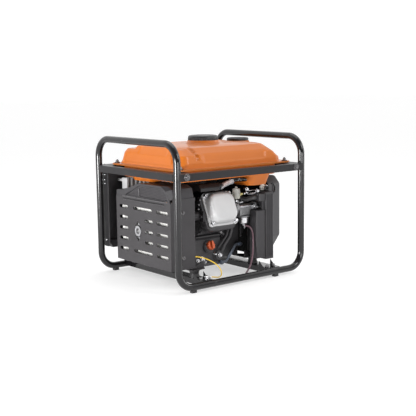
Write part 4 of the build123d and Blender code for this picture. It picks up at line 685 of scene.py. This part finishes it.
def nut_and_bolts():
    """Every fastener of the frame: dark on the rails and guard, plated at the earth points."""
    dark = Build()
    for side in (-1, 1):
        face = side * RAIL_FACE
        for x in (-226, 220):
            dark.lathe([(0, 11), (1.4, 11), (1.8, 10.2), (1.9, 7)], (x, face, 352), (0, side, 0), 36)
            dark.bolt((x, face + side * 1.8, 352), (0, side, 0), 10, 4.6, 6.8, 0.3)
        for x in (-210, 219):
            y = side * 172.3
            dark.bolt((x, y, 371), UP, 10, 7, 7)
            dark.lathe([(0, 2.8), (4, 2.8), (5, 2.2)], (x, y, 376), UP, 20)
    for z in (235, 95):
        dark.bolt((-190, SIDE_Y, z), FRONT, 8, 5, 6)
    for x, y in ((117, -198), (145, -198), (-153, -194)):
        dark.bolt((x, y, 30), UP, 10, 7, 7)
    for y in (110, 164):
        dark.bolt((-126.2, y, 13), (0, 0, -1), 10, 7, 7)
    dark.done("frame_fasteners", "dark_zinc", "zinc", replaces=("frame_bolts",), bevel=0.0004,
              segments=2, angle=50)
    lug = Build()
    end = Vector(GROUND_POINTS[-1]) * 1000
    back = (Vector(GROUND_POINTS[-2]) * 1000 - end).normalized()
    bolt_x = end.x - 19
    lug.lathe([(0, 6), (1.0, 6), (1.2, 5.6)], (bolt_x, end.y, 30), UP, 28)
    lug.box((bolt_x, end.x - 6), (end.y - 2.4, end.y + 2.4), (30, 31.2))
    lug.lathe([(0, 2.0), (1, 2.5), (8, 2.5), (9, 2.2)], end - back * 9, back, 20)
    lug.bolt((bolt_x, end.y, 31.2), UP, 11, 8.5, 7.4)
    start = Vector(GROUND_POINTS[0]) * 1000
    onward = (Vector(GROUND_POINTS[1]) * 1000 - start).normalized()
    lug.box((start.x - 14, start.x - 2), (SIDE_Y + 1.7, SIDE_Y + 2.9), (90, 100))
    lug.lathe([(0, 2.4), (1, 2.9), (7, 2.9), (8, 2.4)], start - onward * 8, onward, 20)
    lug.lathe([(0, 2.8), (10, 2.8), (12, 2.2)], (-66, -150, 92), FRONT, 20)
    lug.done("earth_terminals", "zinc", "zinc", replaces=("frame_bolts",), bevel=0.0003,
             segments=2, angle=50)


def panel_cheeks():
    """End plates of the control panel, with their screws."""
    plates = Build()
    screws = Build()
    for side in (-1, 1):
        x = sorted((side * 235.5, side * 238.5))
        outline = rounded(188, 224, 88, 338, 9, 8)
        plates.rings([[(x[0], y, z) for y, z in outline], [(x[1], y, z) for y, z in outline]])
        for z in (330, 312, 300, 110):
            screws.bolt((side * 238.5, 208, z), (side, 0, 0), 5, 2.6, 4)
    plates.done("panel_cheeks", "black_plastic", "black_plastic", bevel=0.0012)
    screws.done("panel_screws", "zinc", "zinc")


silencer_screen()
silencer_cover()
guard_details()
silencer()
nut_and_bolts()
panel_cheeks()


# ------------------------------------------------------------------ engine details
BOSS_X, BOSS_Y = 47.5, 46


def rocker_cover():
    """Cast rocker cover: flange with four bosses and a soft-cornered dome."""
    build = Build(cover_plane())
    layers = []
    for z, grow, radius in ((0, -0.6, 19.4), (0.6, 0, 20), (3.6, 0, 20), (4.4, -0.8, 19.4)):
        layers.append([(x, y, z) for x, y in rounded(-56 - grow, 56 + grow, -54 - grow, 54 + grow,
                                                      radius, 12, (12, 12))])
    for z, inset, radius in ((4.6, 3.0, 29), (6.0, 3.8, 29), (12, 4.4, 28), (20, 5.2, 27), (26, 6.2, 26),
                             (30, 7.6, 25), (32.8, 9.6, 23), (34.6, 12.4, 21), (35.5, 16, 19), (35.9, 21, 16),
                             (36, 32, 12), (36, 44, 7)):
        ring = []
        for x, y in rounded(-55 + inset, 55 - inset, -52.5 + inset, 52.5 - inset, radius, 12, (12, 12)):
            drop = max(0.0, -18 - y) * 0.20 * smoothstep((z - 14) / 18)
            ring.append((x, y, z - drop))
        layers.append(ring)
    build.rings(layers)
    for sx in (-1, 1):
        for sy in (-1, 1):
            build.lathe([(0, 9.6), (5, 9.4), (7.2, 8.8), (8, 7.6)], (sx * BOSS_X, sy * BOSS_Y, 0), UP, 32)
    build.done("rocker_cover", "cast", "cast_aluminium", replaces=("valve_cover",))
    bolts = Build(cover_plane())
    for sx in (-1, 1):
        for sy in (-1, 1):
            bolts.lathe([(0, 7.4), (1.2, 7.4), (1.6, 6.8)], (sx * BOSS_X, sy * BOSS_Y, 8), UP, 32)
            bolts.bolt((sx * BOSS_X, sy * BOSS_Y, 9), UP, 10.5, 8.5, 6.6, 0.4 * sx)
    bolts.done("rocker_cover_bolts", "zinc", "zinc", bevel=0.0004, segments=2, angle=50)


def head_shroud():
    """Dark shroud round the head, deeper on its lower left, with its screws."""
    build = Build(cover_plane())
    layers = []
    for z, grow in ((-34, -5), (-24, -1), (-12, 0), (-3.2, 0), (-1.4, -1.6), (-1.2, -8)):
        layers.append([(x, y, z) for x, y in rounded(-65 - grow, 59 + grow, -67 - grow, 57 + grow,
                                                      26, 12, (6, 6))])
    build.rings(layers, (False, False))
    inner = [[(x, y, z) for x, y in rounded(-48, 42, -44, 40, 12, 12, (6, 6))] for z in (-1.2, -20)]
    build.rings([layers[-1], inner[0], inner[1]], (False, False))
    build.done("head_shroud", "dark_plastic", "sheet_black")
    fins = Build(cover_plane())
    for i in range(6):
        z = -38 - i * 7.0
        fins.rings([[(x, y, z + dz) for x, y in rounded(-58, 54, -60, 50, 14, 10)] for dz in (0, 2.2)])
    fins.done("barrel_fins", "dark_cast", "dark_cast", bevel=0.0006, segments=2)
    screws = Build()
    for x, y, z, size in ((-96, -114, 247, 5), (-97, -112, 233, 5), (-94, -118, 262, 4.5),
                          (-7.5, -113, 150, 7)):
        screws.bolt((x, y, z), (-0.3, -1, 0), size, 6, size * 0.62)
    screws.done("shroud_screws", "dark_zinc", "zinc")


def plug_lead():
    """Ribbed boot on the plug, metal suppressor sleeve, and the black lead that loops back."""
    boot = Build()
    base = Vector((-14, -98, 276))
    elbow = arc_points([base, (-22, -106, 293), (-12, -108, 300), (4, -108, 298)], 8, 6)
    boot.tube(elbow, 9.0, 24)
    for i in range(6):
        centre = elbow[2 + i * 2]
        run = (elbow[3 + i * 2] - centre).normalized()
        boot.lathe([(-1.4, 9.0), (-0.9, 10.6), (0.9, 10.6), (1.4, 9.0)], centre, run, 28, (False, False))
    boot.done("plug_boot", "hose", "rubber", replaces=("spark_plug_boot",))
    # The sleeve's pale colour is a painted reflection of its chrome.
    sleeve = Build()
    start, end = Vector((-4, -108, 296)), Vector((50, -108, 311))
    run = (end - start).normalized()
    length = (end - start).length
    sleeve.lathe([(0, 9.2), (2, 10), (10, 10), (11, 8.6), (length - 12, 8.2), (length - 11, 9.4),
                  (length - 2, 9.2), (length, 7.6)], start, run, 6, phase=0.35)
    sleeve.done("suppressor_sleeve", "sleeve", "zinc", replaces=("spark_plug_boot",), bevel=0.0012,
                segments=3, angle=30)
    lead = Build()
    lead.tube(arc_points([(48, -108, 310), (62, -114, 313), (71, -132, 313), (73, -148, 314), (64, -153, 318),
                          (52, -140, 320.5), (46, -110, 320), (50, -60, 316), (56, -20, 304), (56, -18, 268)],
                         [12, 14, 9, 7, 8, 16, 20, 24, 12], 8), 4.4, 20)
    lead.done("plug_lead", "gloss_black", "rubber", replaces=("ignition_lead",))


FILTER_X, FILTER_Y = 42.0, -134.0


def filter_bowl():
    """Clear in-line fuel filter with a pleated element and a yellow outlet."""
    x, y = FILTER_X, FILTER_Y
    clear = Build()
    clear.lathe([(0, 3.2), (7, 3.2), (8, 9), (10, 12.4), (26, 13.2), (27, 13.2)], (x, y, 247), UP, 40)
    clear.lathe([(0, 14.2), (2.6, 14.2), (3, 13), (12, 12.6), (14.6, 10.5), (15.4, 4.2), (20, 3.4), (21, 3)],
                (x, y, 274), UP, 40)
    clear.done("filter_bowl", "clear", "clear_plastic", replaces=("fuel_filter",))
    element = Build()
    rings = []
    for z in (257, 270):
        rings.append([(x + (9 + 1.2 * (i % 2)) * math.cos(math.pi * i / 20),
                       y + (9 + 1.2 * (i % 2)) * math.sin(math.pi * i / 20), z) for i in range(40)])
    element.rings(rings)
    element.tube([(x + 10, y, 268), (x + 27, y + 1, 268.5)], 3.4, 16)
    element.lathe([(0, 5), (1, 5.6), (4, 5.6), (5, 5)], (x + 14, y, 268), (1, 0.05, 0.03), 20)
    element.done("filter_element", "filter_yellow", "clear_plastic")


def free_run_hoses():
    """Black fuel hoses: a C-shaped loop from the tap, behind the air filter, to the fuel filter."""
    hoses = Build()
    hoses.tube(arc_points([(170, -130, 284), (186, -132, 291), (204, -138, 290), (211, -140, 276),
                           (203, -139, 261), (184, -133, 256), (150, -127, 258), (110, -124, 264),
                           (84, -131, 268), (68, -133, 268.5)], [12, 14, 12, 12, 16, 20, 20, 16], 7), 2.8, 18)
    hoses.tube(arc_points([(42, -134, 251), (42, -134, 242), (52, -131, 234), (68, -128, 230)], [7, 8], 6),
               4.2, 18)
    hoses.done("fuel_lines", "gloss_black", "rubber", replaces=("fuel_hoses",))
    clips = Build()
    for centre, run in (((176, -131, 286.5), (0.9, -0.1, 0.4)), ((78, -132, 268.3), (1, -0.1, 0)),
                        ((42, -134, 248), UP)):
        clips.lathe([(-2, 4.6), (-1.6, 5.2), (1.6, 5.2), (2, 4.6)], centre, run, 24, (False, False))
    clips.done("hose_clips", "zinc", "zinc")


TAP_X, TAP_Y = 160, -130


def fuel_tap():
    """White tap body with its outlet, and the black knob on its front."""
    tap = Build()
    tap.lathe([(0, 8), (1, 9.4), (8, 10), (12, 10), (13, 8), (19, 6.4), (26, 6.4)], (TAP_X, TAP_Y, 273),
              UP, 32)
    tap.tube([(TAP_X, TAP_Y, 284), (178, -131, 286)], 3.4, 16)
    tap.lathe([(0, 7.5), (14, 7.5), (15.5, 6.8)], (TAP_X, TAP_Y, 281), FRONT, 28)
    tap.done("tap_body", "ceramic", "zinc", replaces=("fuel_valve_body",))
    knob = Build()
    knob.lathe([(0, 4), (9, 4), (9.4, 7.4), (10.4, 8.2), (14, 8.2), (15, 7.2)], (TAP_X, TAP_Y - 6, 281),
               FRONT, 28)
    knob.box((156, 172), (-151, -146.4), (277.6, 284.4))
    knob.done("tap_lever", "black_plastic", "black_plastic", body="fuel_valve_lever",
              replaces=("fuel_valve_lever",), bevel=0.0012)


def carburettor_body():
    """Cast mixing body, plated float bowl, linkages, spring and nuts."""
    ix, iy, iz = along(160, 6, 34)
    cast = Build()
    cast.lathe([(0, 16), (84, 16)], (ix, iy, iz), RIGHT, 36)
    plane = Matrix.Translation((ix, iy, iz))
    for low, high, reach in ((0, 11, 40), (77, 84, 38)):
        outline = rounded(-reach, reach, -13, 13, 11, 8)
        cast.rings([[(x, -u * math.cos(TILT) + v * math.sin(TILT), u * math.sin(TILT) + v * math.cos(TILT))
                     for u, v in outline] for x in (low, high)], matrix=plane)
    outline = rounded(iy - 22, iy + 19, iz - 23, iz + 17, 8, 6)
    cast.rings([[(x, y, z) for y, z in outline] for x in (ix + 26, ix + 74)])
    cast.lathe([(0, 21), (3.4, 21), (4, 19.6)], (82, -122, 191), UP, 40)
    cast.lathe([(0, 9), (10, 9), (11, 7.8), (15, 7.8), (16, 6.4)], (66, iy, iz + 14), UP, 28)
    for x, z in ((72, 226), (92, 208), (74, 204), (94, 226)):
        cast.lathe([(0, 4), (2.4, 4), (3, 3.2)], (x, iy - 21.8, z), FRONT, 20)
    cast.done("carburettor_body", "mid_cast", "dark_cast", replaces=("carburettor",), bevel=0.0012)
    bowl = Build()
    bowl.lathe([(0, 6), (0.6, 7.4), (4, 7.4), (5, 12), (7.4, 15.4), (11, 17), (25, 17), (26, 18.2),
                (27.6, 18.2)], (82, -124, 163.4), UP, 44)
    bowl.lathe([(0, 3), (5, 3), (6, 4.6), (8, 4.6)], (80, -131, 154), UP, 20)
    bowl.tube([(80, -126, 163), (78.5, -133.5, 163.4)], 2.7, 16)
    bowl.done("float_bowl", "zinc", "zinc", replaces=("carburettor",))
    plated = Build()
    sy, sz = along(188, 6)[1:]
    plated.lathe([(0, 8.6), (5.4, 8.6), (6, 8)], (104, sy - 4, sz - 2), RIGHT, 32)
    plated.lathe([(0, 7), (3, 7), (3.2, 5.6), (9, 5.6), (10, 3)], (113, sy - 8, sz - 4), (1, -0.1, -0.1), 6)
    plated.lathe([(0, 4.2), (3, 4.2), (13, 1.6)], (122, sy - 9, sz - 5), (1, -0.1, -0.1), 20)
    coil = [(52 + t * 0.42, sy - 5 + 4.8 * math.cos(t * 0.9), sz + 1 + 4.8 * math.sin(t * 0.9))
            for t in range(78)]
    plated.tube(coil, 0.75, 8)
    plated.lathe([(0, 3.2), (62, 3.2)], (46, sy - 5, sz + 1), (1, 0, -0.02), 18)
    for x, y, z, size in ((80, -142, 284, 8.5), (127, -140, 274, 9.5)):
        plated.lathe([(0, 2.9), (15, 2.9)], (x, y + 14, z), FRONT, 16)
        plated.bolt((x, y, z), (-0.25, -1, 0), size, 7.5, size * 0.68, 0.2)
    plated.tube([(80, -138, 275), (88, -138, 266), (106, -138, 264), (121, -138, 268), (127, -138, 272)],
                2.0, 12)
    plated.tube([(84, -133, 284), (98, -133, 276), (122, -133, 277)], 1.5, 10)
    plated.box((98, 124), (-136.4, -134.6), (262, 269))
    plated.done("carburettor_linkage", "zinc", "zinc", bevel=0.0004, segments=2, angle=40)


def air_guide():
    """Dark guide plate between the blower and the end cover, with a round opening for the shaft."""
    count = 48
    outer = []
    inner = []
    for i in range(count):
        a = 2 * math.pi * i / count
        c, s = math.cos(a), math.sin(a)
        reach = min(150.0 / max(abs(c), 1e-6), (164.0 if s > 0 else 104.0) / max(abs(s), 1e-6))
        outer.append((CRANK_Y + reach * c, CRANK_Z + reach * s))
        inner.append((CRANK_Y + 60 * c, CRANK_Z + 60 * s))
    build = Build()
    build.rings([[(174.5, y, z) for y, z in inner], [(174.5, y, z) for y, z in outer],
                 [(177.5, y, z) for y, z in outer], [(177.5, y, z) for y, z in inner],
                 [(174.5, y, z) for y, z in inner]], (False, False))
    build.done("air_guide", "deep_black", "black_plastic", smooth=False)


HANDLE_YZ = (95, 238)


def end_cover():
    """Moulded end cover: a rounded box with a slatted outer face and ribs down its front edge."""
    y0, y1, z0, z1 = -137.0, 185.0, 68.0, 316.0

    def outline(skin):
        cut = 0.4 * skin
        corners = [(y0 + 34 + skin, z0 + skin), (y1 - 24 - skin, z0 + skin), (y1 - skin, z0 + 34 + cut),
                   (y1 - skin, z1 - 30 - cut), (y1 - 30 - cut, z1 - skin), (y0 + 24 + cut, z1 - skin),
                   (y0 + skin, z1 - 24 - cut), (y0 + skin, z0 + 48)]
        return [(p.x, p.y) for p in arc_points([(a, b, 0) for a, b in corners + corners[:1]], 12, 4)]

    layers = []
    for x, skin in ((180, 2.5), (180, 0), (181, -0.3), (226, -0.3), (231, 1.2), (235, 4.5), (236.6, 9),
                    (236.8, 16), (234.5, 17.5)):
        layers.append([(x, y, z) for y, z in outline(skin)])
    build = Build()
    build.rings(layers, (False, True))
    build.done("end_cover", "end_grey", "grey_plastic", replaces=("recoil_cover",))
    slats = Build()
    for i in range(10):
        z = 96 + i * 20
        slat = rounded(-96, 66 if 180 < z < 290 else 150, z, z + 9.5, 4.2, 6)
        slats.rings([[(x, y * squeeze, zz) for y, zz in slat]
                     for x, squeeze in ((234.2, 1), (236.4, 1), (237.0, 0.995))])
    slats.lathe([(0, 16), (2.4, 16), (3, 14.5), (3.2, 5)], (234.2, *HANDLE_YZ), RIGHT, 40)
    slats.done("end_cover_slats", "black_plastic", "grey_plastic")
    ribs = Build()
    for i in range(15):
        z = 124 + i * 9.0
        ribs.tube([(180.5, -136.5, z), (184, -139, z + 0.6), (192, -139, z + 0.6), (195, -136.5, z)], 2.2, 10)
    ribs.tube([(199, -137.5, 110), (199, -137.5, 296)], 1.6, 10)
    ribs.done("end_cover_louvres", "dark_plastic", "grey_plastic")


def oil_filler():
    """Lobed filler cap with an upright grip."""
    build = Build(facing((-43, -101, 108), Vector((0, -0.94, 0.34)).normalized()))
    layers = []
    for z, scale in ((0.4, 0.9), (1.2, 1), (8.5, 1), (10.5, 0.94), (11.5, 0.8), (11.8, 0.5)):
        ring = []
        for i in range(96):
            a = 2 * math.pi * i / 96
            r = (14.2 + 1.0 * math.cos(10 * a)) * scale
            ring.append((r * math.cos(a), r * math.sin(a), z))
        layers.append(ring)
    build.rings(layers)
    grip = rounded(-4.2, 4.2, -13, 13, 4, 8)
    build.rings([[(x, y, 10) for x, y in grip], [(x * 0.94, y * 0.98, 18) for x, y in grip],
                 [(x * 0.7, y * 0.9, 20) for x, y in grip]])
    build.lathe([(-58, 2.4), (-18, 2.5), (-17.9, 9.3), (0.6, 9.3)], (0, 0, 0), UP, 24)
    build.done("oil_filler_cap", "red_cap", "red_plastic", body="oil_cap", replaces=("oil_cap",))


def case_details():
    """Ribs, bosses and bolts on the front of the crankcase, and teeth on the fan scroll beside it."""
    ribs = Build()
    ribs.tube(arc_points([(-92, -99, 150), (-40, -103, 158), (-4, -104, 150), (14, -104, 138)], 20), 3.4, 14)
    ribs.tube(arc_points([(42, -98, 192), (50, -103, 160), (38, -106, 130), (14, -106, 104), (4, -104, 84)],
                         [40, 30, 30]), 5.6, 18)
    ribs.tube(arc_points([(30, -94, 188), (36, -101, 160), (26, -104, 134), (4, -104, 112), (-10, -103, 96)],
                         [30, 24, 24]), 3.2, 14)
    ribs.lathe([(0, 22), (3, 22), (8, 19.5), (10, 17)], (-43, -93, 104.5), (0, -0.94, 0.34), 40)
    ribs.box((-95, 8), (-97, -90), (136, 141))
    ribs.lathe([(0, 20), (4, 20), (6, 17), (12, 16), (13, 14)], (-4, -91, 72), FRONT, 36)
    ribs.done("case_ribs", "dark_cast", "dark_cast", bevel=0.0012)
    bolts = Build()
    for x, z, size in ((-90, 64, 9), (-4, 72, 11), (-62, 56, 7)):
        bolts.bolt((x, -97 if size < 10 else -104, z), FRONT, size, 6.5, size * 0.65)
    bolts.done("case_bolts", "zinc", "zinc", bevel=0.0003, segments=2, angle=50)
    serrated = Build()
    for i in range(7):
        z = 126 + i * 9.0
        serrated.lathe([(0, 5), (2, 5), (4, 3.6)], (88, -99 - 1.5 * (i % 2), z), (0, -1, 0.1), 12)
    serrated.done("scroll_teeth", "black_plastic", "black_plastic")


HOOP_JOINT_X, POST_Y, RUN_Z = -119, 215.3, 17


def frame_joints():
    """Swaged sleeve lines where the two hoops meet."""
    build = Build()
    for side in (-1, 1):
        build.lathe([(-2.2, 11.05), (-1.8, 11.35), (-0.5, 11.35), (-0.3, 10.9), (0.3, 10.9), (0.5, 11.35),
                     (1.8, 11.35), (2.2, 11.05)], (HOOP_JOINT_X, side * POST_Y, RUN_Z), RIGHT, 40,
                    (False, False))
    build.done("hoop_joints", "tube", "frame_paint")


def cap_and_gauge():
    """Ribbed fuel cap grip and the gauge's bezel and window."""
    build = Build()
    layers = []
    for z, radius, depth in ((435.3, 48.4, 0), (436.2, 49.6, 1.1), (447.6, 49.6, 1.3), (449.4, 49.3, 0.4),
                             (451.6, 48.8, 0), (454.6, 47.6, 0), (456.4, 45.2, 0), (457, 42, 0),
                             (456.6, 38, 0), (455.6, 36.5, 0), (455.4, 20, 0)):
        ring = []
        for i in range(240):
            a = 2 * math.pi * i / 240
            r = radius - depth * (0.5 + 0.5 * math.cos(30 * a)) ** 3
            ring.append((CAP_X + r * math.cos(a), CAP_Y + r * math.sin(a), z))
        layers.append(ring)
    build.rings(layers)
    build.done("fuel_cap_top", "cap_plastic", "black_plastic", body="fuel_cap_grip",
               replaces=("fuel_cap_grip",))
    gauge = Build()
    gauge.lathe([(0, 35.8), (1, 36.8), (8, 36.8), (9.8, 36), (10.8, 34), (10.8, 31.5), (9, 30.5), (8.6, 12)],
                (GAUGE_X, GAUGE_Y, 430), UP, 72)
    gauge.done("gauge_housing", "cap_plastic", "black_plastic", replaces=("fuel_gauge",))


rocker_cover()
head_shroud()
plug_lead()
filter_bowl()
free_run_hoses()
fuel_tap()
carburettor_body()
air_guide()
end_cover()
oil_filler()
case_details()
frame_joints()
cap_and_gauge()


# ------------------------------------------------------------------ stage
WORLD_FRONT = 0.20
WORLD_BACK = 1.25
BRIGHT_SIDE = (0.62, 0.78, 0.0)


def studio():
    """White floor and a soft surround that is bright at the back right and dim at the front left."""
    bpy.ops.mesh.primitive_plane_add(size=60, location=(0, 0, 0))
    floor = bpy.context.object
    floor.name = "floor"
    floor_mat = bpy.data.materials.new("floor_white")
    floor_mat.use_nodes = True
    bsdf = floor_mat.node_tree.nodes["Principled BSDF"]
    bsdf.inputs["Base Color"].default_value = (0.55, 0.55, 0.55, 1)
    bsdf.inputs["Emission Color"].default_value = (1, 1, 1, 1)
    bsdf.inputs["Emission Strength"].default_value = 0.5
    bsdf.inputs["Roughness"].default_value = 0.75
    bsdf.inputs["Specular IOR Level"].default_value = 0.2
    floor.data.materials.append(floor_mat)
    world = bpy.data.worlds.new("studio")
    bpy.context.scene.world = world
    world.use_nodes = True
    nodes, links = world.node_tree.nodes, world.node_tree.links
    background = nodes["Background"]
    coord = nodes.new("ShaderNodeTexCoord")
    toward = nodes.new("ShaderNodeVectorMath")
    toward.operation = "DOT_PRODUCT"
    toward.inputs[1].default_value = BRIGHT_SIDE
    links.new(coord.outputs["Generated"], toward.inputs[0])
    behind = nodes.new("ShaderNodeMapRange")
    behind.interpolation_type = "SMOOTHSTEP"
    for key, value in (("From Min", -0.55), ("From Max", 0.35), ("To Min", WORLD_FRONT),
                       ("To Max", WORLD_BACK)):
        behind.inputs[key].default_value = value
    links.new(toward.outputs["Value"], behind.inputs["Value"])
    links.new(behind.outputs["Result"], background.inputs["Strength"])
    background.inputs["Color"].default_value = (1, 1, 1, 1)


def area_light(name, pos, target, size, energy, size_y=None):
    light = bpy.data.lights.new(name, "AREA")
    light.energy = energy
    light.size = size
    if size_y:
        light.shape = "RECTANGLE"
        light.size_y = size_y
    obj = bpy.data.objects.new(name, light)
    bpy.context.scene.collection.objects.link(obj)
    obj.location = pos
    obj.rotation_euler = (Vector(target) - Vector(pos)).to_track_quat("-Z", "Y").to_euler()
    return obj


studio()
area_light("key", (0.9, -2.4, 1.9), (0, 0, 0.2), 0.9, 26, 1.2)
area_light("side_left", (-2.6, -0.3, 0.30), (0, 0, 0.18), 0.8, 74, 0.7)
area_light("strip_right", (2.4, -0.9, 0.9), (0, 0, 0.25), 0.35, 14, 1.8)
area_light("low_front", (-0.5, -2.7, 0.35), (0, 0, 0.2), 1.6, 20, 0.5)
area_light("top", (0, 0.2, 2.4), (0, 0, 0.3), 1.8, 12, 1.6)
bpy.context.scene.view_settings.view_transform = "Standard"
